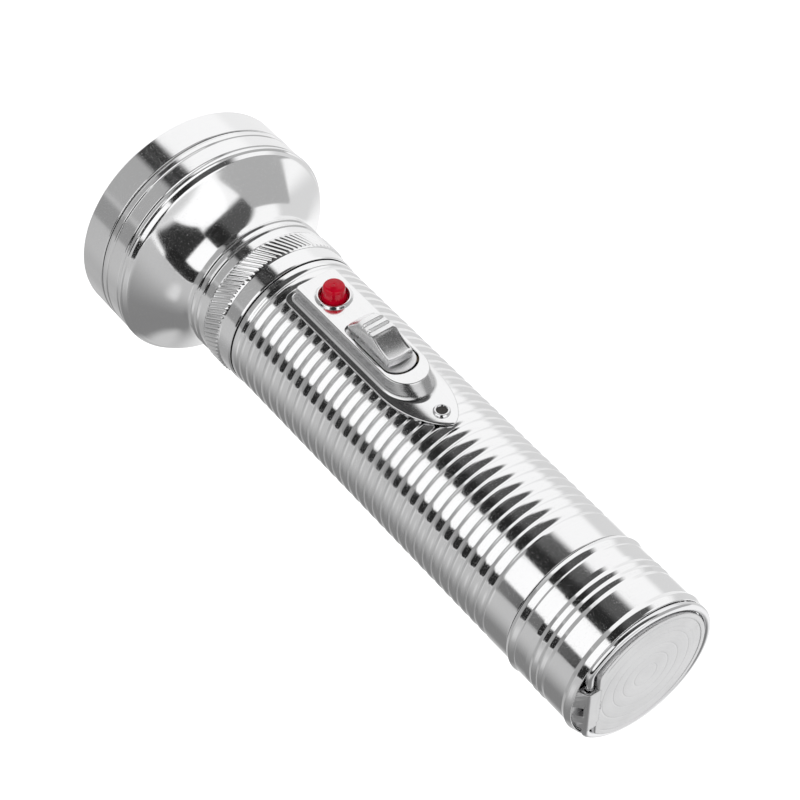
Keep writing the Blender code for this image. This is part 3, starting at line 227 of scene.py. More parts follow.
def rounded(corners, step=12.0, steps=0):
    """Outline through corners (station, radius, fillet), each corner cut by an arc.

    An arc touches both of its straight lines, and a guard point stands a little way
    off on each line, so that the flats keep flat shading. An arc has one point per
    step degrees, or a fixed number of steps.
    """
    points = []
    count = len(corners)
    for i, (z, r, fillet) in enumerate(corners):
        here = np.array([z, r])
        before = np.array(corners[i - 1][:2]) - here
        after = np.array(corners[(i + 1) % count][:2]) - here
        reach_before, reach_after = np.linalg.norm(before), np.linalg.norm(after)
        if fillet <= 0:
            points.append(here[None])
            continue
        before, after = before / reach_before, after / reach_after
        opening = math.acos(float(np.clip(before @ after, -1, 1)))
        tangent = min(fillet / math.tan(opening / 2), reach_before * 0.46, reach_after * 0.46)
        fillet = tangent * math.tan(opening / 2)
        middle = before + after
        centre = here + middle / np.linalg.norm(middle) * fillet / math.sin(opening / 2)
        start, end = here + before * tangent - centre, here + after * tangent - centre
        turn = math.pi - opening
        count_here = steps or max(2, math.ceil(math.degrees(turn) / step))
        share = np.linspace(0, 1, count_here + 1)[:, None]
        arc = (start * np.sin((1 - share) * turn) + end * np.sin(share * turn)) / math.sin(turn)
        guard = min(0.05, tangent * 0.15)
        points.append((here + before * (tangent + guard))[None])
        points.append(centre + arc)
        points.append((here + after * (tangent + guard))[None])
    return np.vstack(points)


def turned(name, outline, segments, finish, body, *nodes):
    """A closed outline of (station, radius) points swept once round the axis."""
    station, radius = np.asarray(outline, dtype=float).T[:, :, None]
    points = around(radius, full_turn(segments), station)
    new_piece(new_mesh(name, grid(points, close_rows=True)), finish, body, *nodes)


def smooth(way):
    """Zero to one with level ends."""
    way = np.clip(way, 0, 1)
    return way * way * (3 - 2 * way)


def tube_along(path, radius, sides):
    """Round wire whose middle line is the path.

    Each ring of points stands square to the path, and the two ends close to a
    rounded point.
    """
    ahead = np.gradient(path, axis=0)
    ahead /= np.linalg.norm(ahead, axis=1)[:, None]
    side = np.cross(ahead, np.array([0.0, 0.0, 1.0]))
    side /= np.linalg.norm(side, axis=1)[:, None]
    rise = np.cross(side, ahead)
    turn = full_turn(sides)[None, :, None]
    ring = radius * (side[:, None] * np.cos(turn) + rise[:, None] * np.sin(turn))
    shares = np.array([0.35, 0.7, 0.92, 1.0])[:, None, None]
    front, rear = (
        path[end] + ahead[end] * sign * radius * shares * 0.5 + ring[end] * np.sqrt(1 - shares**2)
        for end, sign in ((0, -1), (-1, 1))
    )
    return grid(np.concatenate([front[::-1], path[:, None] + ring, rear]))


# Material helpers


def add(tree, kind, inputs=(), **settings):
    """A node with its settings and its inputs, each input a value or another node's socket."""
    new = tree.nodes.new(kind)
    for key, value in settings.items():
        setattr(new, key, value)
    pairs = inputs.items() if isinstance(inputs, dict) else enumerate(inputs)
    for key, value in pairs:
        if isinstance(value, bpy.types.NodeSocket):
            tree.links.new(value, new.inputs[key])
        elif value is not None:
            new.inputs[key].default_value = value
    return new


def maths(tree, operation, *values, clamp=False):
    """One sum on numbers or sockets."""
    return add(tree, "ShaderNodeMath", values, operation=operation, use_clamp=clamp).outputs[0]


def new_group(name, inputs, outputs):
    """A shader group of numbers: its inputs by name with their values, and its named outputs."""
    group = bpy.data.node_groups.new(name, "ShaderNodeTree")
    for label, value in inputs.items():
        socket = group.interface.new_socket(label, in_out="INPUT", socket_type="NodeSocketFloat")
        socket.default_value = value
    for label in outputs:
        group.interface.new_socket(label, in_out="OUTPUT", socket_type="NodeSocketFloat")
    return group, group.nodes.new("NodeGroupInput").outputs


def object_place(tree):
    """Place on the object, in its own coordinates."""
    return add(tree, "ShaderNodeTexCoord").outputs["Object"]


def split(tree, place):
    """The three numbers of a place."""
    return add(tree, "ShaderNodeSeparateXYZ", [place]).outputs


def from_axis(tree, parts):
    """Distance from the axis."""
    squares = [maths(tree, "POWER", part, 2.0) for part in (parts[0], parts[1])]
    return maths(tree, "SQRT", maths(tree, "ADD", *squares))


def noise(tree, place, scale, detail, roughness=0.5):
    """Soft noise at a place, about 0.5."""
    values = {"Vector": place, "Scale": scale, "Detail": detail, "Roughness": roughness}
    return add(tree, "ShaderNodeTexNoise", values).outputs[0]


def ranged(tree, value, low, high, **settings):
    """Zero to one while a value goes from low to high."""
    values = {"Value": value, "From Min": low, "From Max": high}
    return add(tree, "ShaderNodeMapRange", values, **settings).outputs[0]


def mixed(tree, factor, low, high, **settings):
    """A number between two sockets or numbers by the factor."""
    return add(tree, "ShaderNodeMix", {"Factor": factor, 2: low, 3: high}, **settings).outputs[0]


def blended(tree, factor, low, high):
    """A number between low and high by the factor."""
    return add(tree, "ShaderNodeMapRange", {"Value": factor, "To Min": low, "To Max": high}).outputs[0]


def tinted(tree, factor, low, high):
    """A colour between low and high by the factor."""
    low, high = ((*tone, 1.0) if isinstance(tone, tuple) else tone for tone in (low, high))
    return add(tree, "ShaderNodeMix", {"Factor": factor, 6: low, 7: high}, data_type="RGBA").outputs[2]


def new_finish(name):
    """An empty material with its node tree and its shader."""
    material = bpy.data.materials.new(name)
    material.use_nodes = True
    tree = material.node_tree
    return material, tree, tree.nodes["Principled BSDF"]


def dress(tree, shader, tone, shine, height, bump):
    """Colour, roughness and bump of a shader, the bump's depth in millimetres."""
    tree.links.new(tone, shader.inputs["Base Color"])
    tree.links.new(shine, shader.inputs["Roughness"])
    relief = add(tree, "ShaderNodeBump", {"Strength": 1.0, "Distance": bump * MM, "Height": height})
    tree.links.new(relief.outputs[0], shader.inputs["Normal"])


def polish_group():
    """Fine marks of polishing: grain, lines round the axis or along it, and faint smudges.

    Grain is noise of the grain size. Lines are noise read at the distance from the
    axis and the station alone, so that they run round the axis, or at the place with
    its station pressed together, so that they run along it. Smudges are wide noise that
    only dulls the shine. Sizes are in metres.
    """
    group, given = new_group(
        "polish_marks",
        {"Grain size": 0.0003, "Line size": 0.00025, "Lines along": 0.0, "Smudge size": 0.02,
         "Line share": 0.5},
        ["Height", "Dullness", "Tone", "Specks"],
    )
    place = object_place(group)
    parts = split(group, place)
    per_grain, per_line, per_smudge = (
        maths(group, "DIVIDE", 1.0, given[label]) for label in ("Grain size", "Line size", "Smudge size"))
    grain = noise(group, place, per_grain, 2.0, 0.6)
    round_place = add(group, "ShaderNodeCombineXYZ", [from_axis(group, parts), 0.0, parts[2]]).outputs[0]
    stretch = add(group, "ShaderNodeVectorMath", [place, (1.0, 1.0, 0.02)], operation="MULTIPLY").outputs[0]
    line_place = add(group, "ShaderNodeMix", {"Factor": given["Lines along"], 4: round_place, 5: stretch},
                     data_type="VECTOR").outputs[1]
    lines = noise(group, line_place, per_line, 3.0, 0.7)
    smudge = noise(group, place, per_smudge, 4.0, 0.55)
    add(group, "NodeGroupOutput", {
        "Height": mixed(group, given["Line share"], grain, lines),
        "Dullness": ranged(group, smudge, 0.35, 0.75, interpolation_type="SMOOTHSTEP"),
        "Tone": lines,
        "Specks": ranged(group, grain, 0.56, 0.72),
    })
    return group


def metal_finish(name, tone, dark_tone, roughness, bump, marks):
    """Bare metal with polishing marks: tone, shine and bump all vary over the surface."""
    material, tree, shader = new_finish(name)
    clean, dulled, speck = roughness
    grain, line, along, smudge, share = marks
    found = add(tree, "ShaderNodeGroup", [grain * MM, line * MM, along, smudge * MM, share],
                node_tree=POLISH).outputs
    shader.inputs["Metallic"].default_value = 1.0
    shine = blended(tree, found["Dullness"], clean, dulled)
    shine = maths(tree, "MULTIPLY_ADD", found["Specks"], speck, shine)
    dress(tree, shader, tinted(tree, found["Tone"], dark_tone, tone), shine, found["Height"], bump)
    return material


def plain_finish(name, tone, dark_tone, roughness, bump, grain):
    """Fibre, rubber or moulding: a grain in the colour, the shine and the surface."""
    material, tree, shader = new_finish(name)
    place = object_place(tree)
    fine = noise(tree, place, 1 / (grain * MM), 4.0)
    wide = noise(tree, place, 0.15 / (grain * MM), 2.0)
    dress(tree, shader, tinted(tree, fine, dark_tone, tone), blended(tree, wide, *roughness), fine, bump)
    return material


POLISH = polish_group()
# Bare metals: colour, colour in the lines, (roughness, where dulled, added by specks), depth of the
# bump, (grain size, line size, 1 for lines along the axis, smudge size, share of the lines)
METALS = {
    "polished_aluminium": ((0.945, 0.945, 0.95), (0.90, 0.90, 0.905), (0.072, 0.12, 0.22), 0.0014,
                           (0.22, 0.3, 0, 18, 0.35)),
    "stamped_aluminium": ((0.945, 0.945, 0.95), (0.88, 0.88, 0.885), (0.09, 0.15, 0.15), 0.0012,
                          (0.2, 0.2, 1, 8, 0.5)),
    "slider_aluminium": ((0.945, 0.945, 0.95), (0.84, 0.84, 0.845), (0.22, 0.34, 0.15), 0.004,
                         (0.3, 0.25, 1, 4, 0.5)),
    "brushed_aluminium": ((0.945, 0.945, 0.95), (0.88, 0.88, 0.885), (0.36, 0.44, 0.15), 0.003,
                          (0.3, 0.25, 1, 4, 0.6)),
    "satin_aluminium": ((0.76, 0.76, 0.765), (0.66, 0.66, 0.665), (0.30, 0.40, 0.15), 0.004,
                        (0.25, 0.3, 0, 10, 0.3)),
    "plated_wire": ((0.90, 0.90, 0.91), (0.82, 0.82, 0.83), (0.07, 0.12, 0.15), 0.001,
                    (0.3, 0.2, 1, 10, 0.4)),
    # near-black thread: painted shade for the seams at the head and at the cap
    "shade_dark_thread": ((0.10, 0.10, 0.10), (0.04, 0.04, 0.04), (0.45, 0.6, 0.15), 0.004,
                      (0.3, 0.5, 0, 6, 0.8)),
    "tinned_steel": ((0.70, 0.71, 0.72), (0.58, 0.59, 0.60), (0.28, 0.42, 0.15), 0.003,
                     (0.4, 0.4, 0, 12, 0.5)),
    "contact_brass": ((0.85, 0.68, 0.36), (0.70, 0.52, 0.24), (0.22, 0.38, 0.15), 0.003,
                      (0.3, 0.2, 1, 6, 0.5)),
    # near-black brass: painted shade for the carriage seen through the slot's gap
    "shade_dark_brass": ((0.16, 0.13, 0.09), (0.08, 0.065, 0.05), (0.35, 0.5, 0.15), 0.003,
                      (0.3, 0.2, 1, 6, 0.5)),
    "silvered_reflector": ((0.95, 0.95, 0.945), (0.92, 0.92, 0.915), (0.03, 0.06, 0.15), 0.0006,
                           (1.2, 0.4, 0, 20, 0.5)),
}
# Other plain materials: colour, colour in the grain, roughness from and to, depth and size of the grain
PLAIN = {
    "black_rubber": ((0.035, 0.035, 0.035), (0.02, 0.02, 0.02), (0.7, 0.9), 0.02, 0.6),
    "vulcanised_fibre": ((0.055, 0.050, 0.048), (0.03, 0.028, 0.027), (0.6, 0.8), 0.02, 0.8),
    "black_moulding": ((0.05, 0.044, 0.038), (0.025, 0.022, 0.02), (0.28, 0.42), 0.006, 0.7),
    "cell_mix": ((0.06, 0.06, 0.06), (0.02, 0.02, 0.02), (0.85, 0.95), 0.08, 1.2),
}


def red_finish():
    """Clear red plastic: a deep tint that a cloudy noise lightens a little."""
    material, tree, shader = new_finish("red_button")
    cloud = noise(tree, object_place(tree), 900.0, 2.0)
    tone = tinted(tree, cloud, (0.50, 0.0, 0.012), (0.80, 0.004, 0.035))
    dress(tree, shader, tone, blended(tree, cloud, 0.03, 0.08), cloud, 0.03)
    shader.inputs["IOR"].default_value = 1.49
    shader.inputs["Transmission Weight"].default_value = 0.35
    shader.inputs["Specular IOR Level"].default_value = 0.22
    return material


def shade_and_dull_walls(material):
    """Pressed walls of the cover painted darker as shade, and left rougher, as polishing misses them.

    The mask is one between the flange's curve and the boss's flat, told by the distance
    from the axis and the height, and fades over a third of a millimetre at each end.
    """
    tree = material.node_tree
    shader = tree.nodes["Principled BSDF"]
    parts = split(tree, object_place(tree))
    above = ranged(tree, from_axis(tree, parts), (COVER_HEIGHT + 0.05) * MM, (COVER_HEIGHT + 0.35) * MM)
    below = ranged(tree, parts[1], (0.03 - BOSS_HEIGHT) * MM, (0.35 - BOSS_HEIGHT) * MM)
    mask = maths(tree, "MULTIPLY", above, below)
    # painted shade: by the mask the walls' colour goes over to a darker grey
    tone = shader.inputs["Base Color"].links[0].from_socket
    tree.links.new(tinted(tree, mask, tone, WALL_SHADE_TONE), shader.inputs["Base Color"])
    shine = shader.inputs["Roughness"].links[0].from_socket
    tree.links.new(maths(tree, "MULTIPLY_ADD", mask, WALL_ROUGHNESS, shine), shader.inputs["Roughness"])


def glass_finish():
    """Clear glass with a faint green cast and a few dust specks that dull it."""
    material, tree, shader = new_finish("clear_glass")
    specks = ranged(tree, noise(tree, object_place(tree), 700.0, 3.0), 0.62, 0.75)
    tree.links.new(tinted(tree, specks, (0.97, 0.99, 0.985), (0.90, 0.92, 0.91)), shader.inputs["Base Color"])
    tree.links.new(blended(tree, specks, 0.01, 0.12), shader.inputs["Roughness"])
    shader.inputs["IOR"].default_value = 1.5
    shader.inputs["Transmission Weight"].default_value = 1.0
    return material


FINISHES = {name: metal_finish(name, *values) for name, values in METALS.items()}
FINISHES |= {name: plain_finish(name, *values) for name, values in PLAIN.items()}
FINISHES |= {"red_button": red_finish(), "clear_glass": glass_finish()}
# painted shade on the cover's walls, with more roughness there
shade_and_dull_walls(FINISHES["stamped_aluminium"])

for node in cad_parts.values():
    for holder in node.material_slots:
        holder.material = FINISHES[holder.material.name.split(".")[0]]
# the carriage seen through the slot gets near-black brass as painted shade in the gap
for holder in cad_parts["slider_carriage"].material_slots:
    holder.material = FINISHES["shade_dark_brass"]


# Head


def lens_ring():
    """Spun ring: flat rim, inner lip, plain cylinder and a rolled rear edge."""
    corners = [
        (0.6, 26.8, 0.15),
        (0.0, 28.1, 0.3),
        (0.0, 29.7, 0.25),
        (0.45, HEAD_RADIUS, 0.4),
        (8.7, HEAD_RADIUS, 0.3),
        (8.7, HEAD_BORE, 0),
        (1.4, HEAD_BORE, 0),
        (1.4, 26.8, 0.1),
    ]
    turned("lens_ring_spun", rounded(corners), 224, "polished_aluminium", "lens_ring", "lens_ring")


def bell(shares, inset):
    """Line of the bell: its height over the neck falls as a power of the way left."""
    radius = NECK_RADIUS + (BELL_RADIUS - NECK_RADIUS) * (1 - shares) ** BELL_POWER
    return np.stack([BELL_FRONT + (NECK_FRONT - BELL_FRONT) * shares, radius - inset], axis=1)


def head_shell():
    """Bell, front band with grooves and a bead, neck with ridges, spun from one sheet."""
    front = rounded([
        (SLEEVE_FRONT, SLEEVE_BORE, 0),
        (SLEEVE_FRONT, SLEEVE_RADIUS, 0.1),
        (SHELL_FRONT, SLEEVE_RADIUS, 0),
        (SHELL_FRONT, HEAD_RADIUS - 0.1, 0.15),
        (9.4, HEAD_RADIUS - 0.1, 0.1),
        (9.62, HEAD_RADIUS, 0.3),
        (10.8, HEAD_RADIUS, 0.25),
        (11.1, HEAD_RADIUS - 0.36, 0.14),
        (11.4, HEAD_RADIUS, 0.25),
        (15.45, HEAD_RADIUS, 0.25),
        (15.85, HEAD_RADIUS - 0.38, 0.16),
        (16.3, HEAD_RADIUS + 0.14, 0.35),
        (17.1, HEAD_RADIUS + 0.14, 0.35),
        (17.5, HEAD_RADIUS - 0.35, 0.3),
        (BELL_FRONT - 0.1, HEAD_RADIUS - 0.85, 0.5),
        (20.0, 28.2, 0),
    ])[1:-1]
    neck = rounded([
        (30.9, NECK_RADIUS, 0),
        (31.5, NECK_RADIUS, 0.25),
        (32.05, NECK_RADIUS + 0.42, 0.32),
        (32.6, NECK_RADIUS, 0.2),
        (33.75, NECK_RADIUS, 0.2),
        (34.3, NECK_RADIUS + 0.42, 0.32),
        (34.85, NECK_RADIUS, 0.25),
        (44.8, NECK_RADIUS, 0),
        (47.5, NECK_RADIUS, 0.8),
        (SEAM, NECK_RADIUS - 0.12, 0.1),
        (SEAM, NECK_BORE, 0),
        (NECK_FRONT, NECK_BORE, 0),
    ])[:-1]
    outer_bell = bell(np.linspace(0.02, 1, 56), 0)
    inner_bell = bell(np.linspace(0, 1, 24), 0.8)[::-1]
    outline = np.vstack([[(SLEEVE_FRONT, SLEEVE_BORE)], front, outer_bell, neck, inner_bell,
                         [(17.4, SLEEVE_BORE)]])
    turned("head_shell_spun", outline, 224, "polished_aluminium", "head", "head_shell")


def knurled_band():
    """Slanted teeth rolled into the neck.

    The band's height is a plateau along the axis times a rounded wave round it:
    wide round teeth between narrow grooves, each tooth leaning as it goes back.
    """
    teeth, points_per_tooth, tooth_height, upright_station = 85, 10, 0.36, 40.0
    front, rear = 37.0, 43.75
    turn = full_turn(teeth * points_per_tooth)[None]
    z = np.concatenate([[front, front + 0.15], np.linspace(37.3, 43.5, 27), [rear - 0.15, rear]])[:, None]
    lean = math.radians(1.8) * (z - upright_station)
    tooth = np.abs(np.sin(teeth * (turn + lean) / 2)) ** 0.8
    plateau = smooth(np.clip((z - 37.35) / 0.6, 0, 1) * np.clip((43.2 - z) / 0.45, 0, 1))
    band = np.clip((z - 36.95) / 0.35, 0, 1) * np.clip((43.7 - z) / 0.3, 0, 1)
    radius = NECK_RADIUS - 0.15 + 0.3 * band + plateau * (tooth_height * tooth - 0.04)
    inside = np.full_like(turn, NECK_RADIUS - 0.2)
    points = around(np.vstack([inside, radius, inside]), turn, np.vstack([z[:1], z, z[-1:]]))
    new_piece(new_mesh("knurled_band", grid(points, close_rows=True)), "polished_aluminium", "head")


# Barrel


def groove_shape(z):
    """Depth of the pressed grooves, one to a pitch, deepest at each groove's station.

    Towards the tail a groove rises as a raised cosine over GROOVE_RISE; towards the
    lens it fills the rest of the pitch with a raised cosine to a power.
    """
    fall = GROOVE_PITCH - GROOVE_RISE
    way = np.mod(z - FIRST_GROOVE + fall, GROOVE_PITCH) - fall
    rear = (1 + np.cos(math.pi * np.clip(way, 0, GROOVE_RISE) / GROOVE_RISE)) / 2
    front = ((1 + np.cos(math.pi * np.clip(way, -fall, 0) / fall)) / 2) ** GROOVE_POWER
    inside = (z > FIRST_GROOVE - fall) & (z < FIRST_GROOVE + GROOVE_PITCH * (GROOVE_COUNT - 1) + GROOVE_RISE)
    return np.where(inside, np.where(way > 0, rear, front), 0.0)


def body_tube():
    """Barrel with its pressed rings and a smooth band at each end, and its two rolled threads.

    A thread is a wave along the sleeve that goes on under the head and under the cap.
    """
    first = FIRST_GROOVE - GROOVE_PITCH + GROOVE_RISE
    last = first + GROOVE_PITCH * GROOVE_COUNT
    z = np.linspace(first + 0.35, last, GROOVE_COUNT * 20 + 1)
    ribs = np.stack([z, CREST_RADIUS - GROOVE_DEPTH * groove_shape(z) * smooth((z - 49.6) / 0.8)], axis=1)
    front = rounded([
        (TUBE_FRONT, BORE_RADIUS, 0),
        (TUBE_FRONT, CREST_RADIUS - 0.02, 0.1),
        (first + 0.3, CREST_RADIUS, 0),
    ])[1:-1]
    rear = rounded([
        (last + 0.2, CREST_RADIUS, 0),
        (last + 0.6, CREST_RADIUS, 0),
        (TUBE_REAR, TUBE_RADIUS, 0.3),
        (TUBE_REAR, BORE_RADIUS, 0),
        (TUBE_FRONT, BORE_RADIUS, 0),
    ])[1:-1]
    outline = np.vstack([[(TUBE_FRONT, BORE_RADIUS)], front, ribs, rear])
    turned("body_tube_pressed", outline, 144, "polished_aluminium", "barrel", "body_tube")
    threads = {"front_thread": (38.6, TUBE_FRONT - 0.02), "rear_thread": (TUBE_REAR + 0.02, 161.6)}
    for name, (start, end) in threads.items():
        along = np.linspace(start + 0.3, end - 0.1, round((end - start - 0.4) * 12))
        wave = THREAD_RADIUS - 0.1 + 0.1 * np.cos(math.tau * along / THREAD_PITCH)
        low, high = ([(place, BORE_RADIUS), (place, THREAD_RADIUS - 0.3)] for place in (start, end))
        outline = np.vstack([low, np.stack([along, wave], axis=1), high[::-1]])
        # the threads are near black, as painted shade seen in the seams
        turned(name, outline, 120, "shade_dark_thread", "barrel")


def tail_cap():
    """Screw cap: rolled mouth, plain band, three beads, plain band, rim bead, sunk floor."""
    beads = []
    for i in range(3):
        groove = FIRST_CAP_GROOVE + CAP_GROOVE_PITCH * i
        beads += [(groove, CAP_RADIUS - 0.22, 0.3), (groove + CAP_GROOVE_PITCH / 2, CAP_RADIUS + 0.16, 0.5)]
    corners = [
        (173.8, 0.001, 0),
        (173.8, CAP_BORE, 0),
        (CAP_MOUTH, CAP_BORE, 0),
        (CAP_MOUTH, CAP_RADIUS - 0.1, 0.1),
        (154.75, CAP_RADIUS + 0.42, 0.8),
        (156.2, CAP_RADIUS - 0.12, 0.45),
        (156.75, CAP_RADIUS, 0.4),
        (160.2, CAP_RADIUS, 0.5),
        *beads[:-1],
        (166.6, CAP_RADIUS, 0.5),
        (172.6, CAP_RADIUS, 0.5),
        (173.85, CAP_RADIUS + 0.5, 0.7),
        (175.05, CAP_RADIUS + 0.1, 0.25),
        (175.5, CAP_RADIUS + 0.05, 0.3),
        (175.5, CAP_RADIUS - 0.35, 0.2),
        (CAP_FLOOR, CAP_RADIUS - 0.5, 0.2),
        (CAP_FLOOR, 0.001, 0),
    ]
    turned("tail_cap_spun", rounded(corners), 192, "polished_aluminium", "tail_cap", "tail_cap")


# Switch

# Counts of points along an outline's front, corner, side and tail
SECTION_POINTS = (7, 8, 26, 34)


def on_switch(across, height, station):
    """Points on the switch, whose heights run along -Y."""
    return np.stack(np.broadcast_arrays(across, -height, station), axis=-1)


def round_switch(radius, height, station, segments):
    """Rings of points with their radii and heights, round a line that stands on the switch."""
    turn, radius = full_turn(segments), radius[:, None]
    return on_switch(radius * np.sin(turn), height[:, None], station + radius * np.cos(turn))


def turned_on_switch(name, outline, station, segments, finish, body, *nodes):
    """A closed outline of (height, radius) points swept once round a line that stands on the switch."""
    points = round_switch(outline[:, 1], outline[:, 0], station, segments)
    new_piece(new_mesh(name, grid(points, close_rows=True)), finish, body, *nodes)


def half_outline(width, front, corner, side_end, rear, power):
    """Half of a boat-shaped outline from the front's middle round to the tip.

    It has a straight front, a round corner, a straight side and a tail whose width
    falls as one less the square of the way, to a power.
    """
    n_front, n_corner, n_side, n_tail = SECTION_POINTS
    x_front = np.linspace(0, width - corner, n_front, endpoint=False)
    turn = np.linspace(0, math.pi / 2, n_corner, endpoint=False)
    z_side = np.linspace(front + corner, side_end, n_side, endpoint=False)
    way = np.sin(np.linspace(0, math.pi / 2, n_tail))
    tail_width = width * np.maximum(1 - way**2, 0) ** power
    tail_width[-1] = 0
    x = np.concatenate([x_front, width - corner + corner * np.sin(turn), np.full(n_side, width), tail_width])
    z = np.concatenate([
        np.full(n_front, front),
        front + corner - corner * np.cos(turn),
        z_side,
        side_end + (rear - side_end) * way,
    ])
    return np.stack([x, z], axis=1)


def full_outline(*shape):
    """The half outline and its mirror image, as one closed loop."""
    half = half_outline(*shape)
    other = half[1:-1][::-1] * (-1, 1)
    return np.vstack([half, other])


# Boat shapes: half width, front, corner radius, end of the straight side, rear, tail power
BOSS_TOP = np.array([5.75, 56.2, 1.1, 90.8, 96.9, 0.5])
FLANGE = np.array([7.7, 54.0, 1.9, 92.0, 109.8, 0.67])
# Sections of the stamped wall, as (outwards, down, fillet), at the side, front and rear
WALL_SIDE = [(-1, 0, 0), (0, 0, 0.45), (0.02, 2.0, 1.0), (0.04, 3.85, 0.9), (5, 3.85, 0)]
WALL_FRONT = [(-1, 0, 0), (0, 0, 0.3), (0.3, 1.5, 1.0), (0.5, 2.9, 0.8), (4, 2.9, 0)]
WALL_REAR = [(-1, 0, 0), (0, 0, 0.3), (1.6, 1.5, 4.0), (3.1, 2.95, 3.0), (9, 2.95, 0)]


def on_flange(x):
    """Height of the flange's outer face at a distance from the middle."""
    return np.sqrt(COVER_HEIGHT**2 - x**2)


def cover_loops():
    """Loops of the stamped cover from the flat of its boss out to the flange's edge.

    Three rounded sections of the wall, at the side, the front and the rear, give how
    far out and how far down each loop lies there, and the heights go over from one to
    the next along the outline.
    """
    side, front, rear = (rounded(wall, steps=9)[1:-1] for wall in (WALL_SIDE, WALL_FRONT, WALL_REAR))
    loops = []
    for at_side, at_front, at_rear in zip(side, front, rear):
        out = at_side[0]
        start = BOSS_TOP + np.array([out, -at_front[0], 0.5 * max(out, 0), 0.3 * max(out, 0), at_rear[0], 0])
        x, z = full_outline(*start).T
        to_rear = smooth((z - 91.0) / 6.5)
        to_front = smooth((57.6 - z) / 1.2) * smooth((5.4 - np.abs(x)) / 1.6)
        share = at_side[1] / WALL_SIDE[-1][1] * (1 - to_rear) * (1 - to_front)
        share = share + at_rear[1] / WALL_REAR[-1][1] * to_rear + at_front[1] / WALL_FRONT[-1][1] * to_front
        loops.append(on_switch(x, BOSS_HEIGHT - (BOSS_HEIGHT - on_flange(x)) * share, z))
    for share, drop in ((0.3, 0), (0.6, 0), (0.86, 0), (0.93, 0.01), (0.98, 0.06), (1.0, 0.16)):
        x, z = full_outline(*(start + (FLANGE - start) * share)).T
        loops.append(on_switch(x, on_flange(x) - drop, z))
    return np.stack(loops)


def collar_loops():
    """Loops of the pressed collar round the button's hole, from the flat up and into the hole."""
    section = rounded([
        (5.4, 0.0, 0),
        (4.55, 0.0, 0.15),
        (4.08, 0.68, 0.3),
        (3.72, 0.68, 0.16),
        (BUTTON_HOLE, -0.3, 0),
    ], 15.0)[1:]
    return round_switch(section[:, 0], BOSS_HEIGHT + section[:, 1], BUTTON_STATION, 64)


def slot_outline(inset):
    """Plan of the slot: small round corners at the front, half an ellipse at the rear."""
    front, rear = SLOT_FRONT - SLOT_EDGE + inset, SLOT_REAR + SLOT_EDGE - inset
    return full_outline(4.85 - inset, front, 1.6, SLOT_REAR - 3.6, rear, 0.5)


def slot_loops():
    """Loops of the slot's pressed edge, from the flat a quarter round down."""
    turn = np.linspace(0, math.pi / 2, 4)
    insets = np.concatenate([[-SLOT_RIM], SLOT_EDGE * np.sin(turn)])
    drops = np.concatenate([[0], SLOT_EDGE * (1 - np.cos(turn))])
    outlines = [slot_outline(inset).T for inset in insets]
    return np.stack([on_switch(x, BOSS_HEIGHT - drop, z) for (x, z), drop in zip(outlines, drops)])


def boss_flat(rim, collar, slot):
    """Flat of the boss, filled with triangles between its rim, the collar and the slot."""
    loops = [rim, collar, slot]
    edges, start = [], 0
    for loop in loops:
        edges += [(start + i, start + (i + 1) % len(loop)) for i in range(len(loop))]
        start += len(loop)
    filled = delaunay_2d_cdt([Vector(point) for point in np.vstack(loops)], edges, [], 1, 1e-6)
    plan = np.array([tuple(point) for point in filled[0]])
    triangles = np.array([face for face in filled[2] if len(face) == 3])
    middle = plan[triangles].mean(axis=1)
    in_hole = np.hypot(middle[:, 0], middle[:, 1] - BUTTON_STATION) < collar[:, 0].max() * 0.995
    triangles = triangles[~(in_hole | inside_outline(middle, slot))]
    return on_switch(plan[:, 0], np.full(len(plan), BOSS_HEIGHT), plan[:, 1]), triangles


def switch_cover():
    """Stamped sheet: boss, flange, collar and slot, with its thickness turned inwards."""
    outer, collar = cover_loops(), collar_loops()
    flat = boss_flat(outer[0][:, [0, 2]], collar[0][:, [0, 2]], slot_outline(-SLOT_RIM))
    mesh = new_mesh("switch_cover_stamped", flat, grid(outer), grid(collar), grid(slot_loops()), merge=0.001)
    top = max(mesh.polygons, key=lambda face: face.area if abs(face.normal.y) > 0.99 else 0.0)
    if top.normal.y > 0:
        mesh.flip_normals()
    flatten(mesh, lambda face: face.normal.y < -0.9999 and face.center.y < (0.01 - BOSS_HEIGHT) * MM)
    piece = new_piece(mesh, "stamped_aluminium", "barrel", "switch_cover")
    wall = piece.modifiers.new("sheet", "SOLIDIFY")
    wall.thickness = COVER_SHEET * MM
    wall.offset = -1


def inside_outline(points, outline):
    """True for the points inside a closed outline, by counting the sides they look across."""
    x, z = points[:, 0][:, None], points[:, 1][:, None]
    x1, z1 = outline[:, 0][None], outline[:, 1][None]
    x2, z2 = np.roll(x1, -1, axis=1), np.roll(z1, -1, axis=1)
    spans = (z1 > z) != (z2 > z)
    with np.errstate(divide="ignore", invalid="ignore"):
        crossing = x1 + (z - z1) * (x2 - x1) / (z2 - z1)
    return (spans & (x < crossing)).sum(axis=1) % 2 == 1


def slab(outline, low, high, edge):
    """Flat plate on the switch: from the middle of its top out, round its edge, and back below."""
    middle = (outline.min(axis=0) + outline.max(axis=0)) / 2
    turn = np.linspace(0, math.pi / 2, 4)
    inset, fall = edge * (1 - np.sin(turn)), edge * (1 - np.cos(turn))
    shares = np.concatenate([[0, 0.5, 0.9], 1 - inset / outline[:, 0].max()])
    shares = np.concatenate([shares, shares[::-1]])
    heights = np.concatenate([[high] * 3, high - fall])
    heights = np.concatenate([heights, low + high - heights[::-1]])
    plan = middle + (outline - middle)[None] * shares[:, None, None]
    return grid(on_switch(plan[..., 0], heights[:, None], plan[..., 1]))


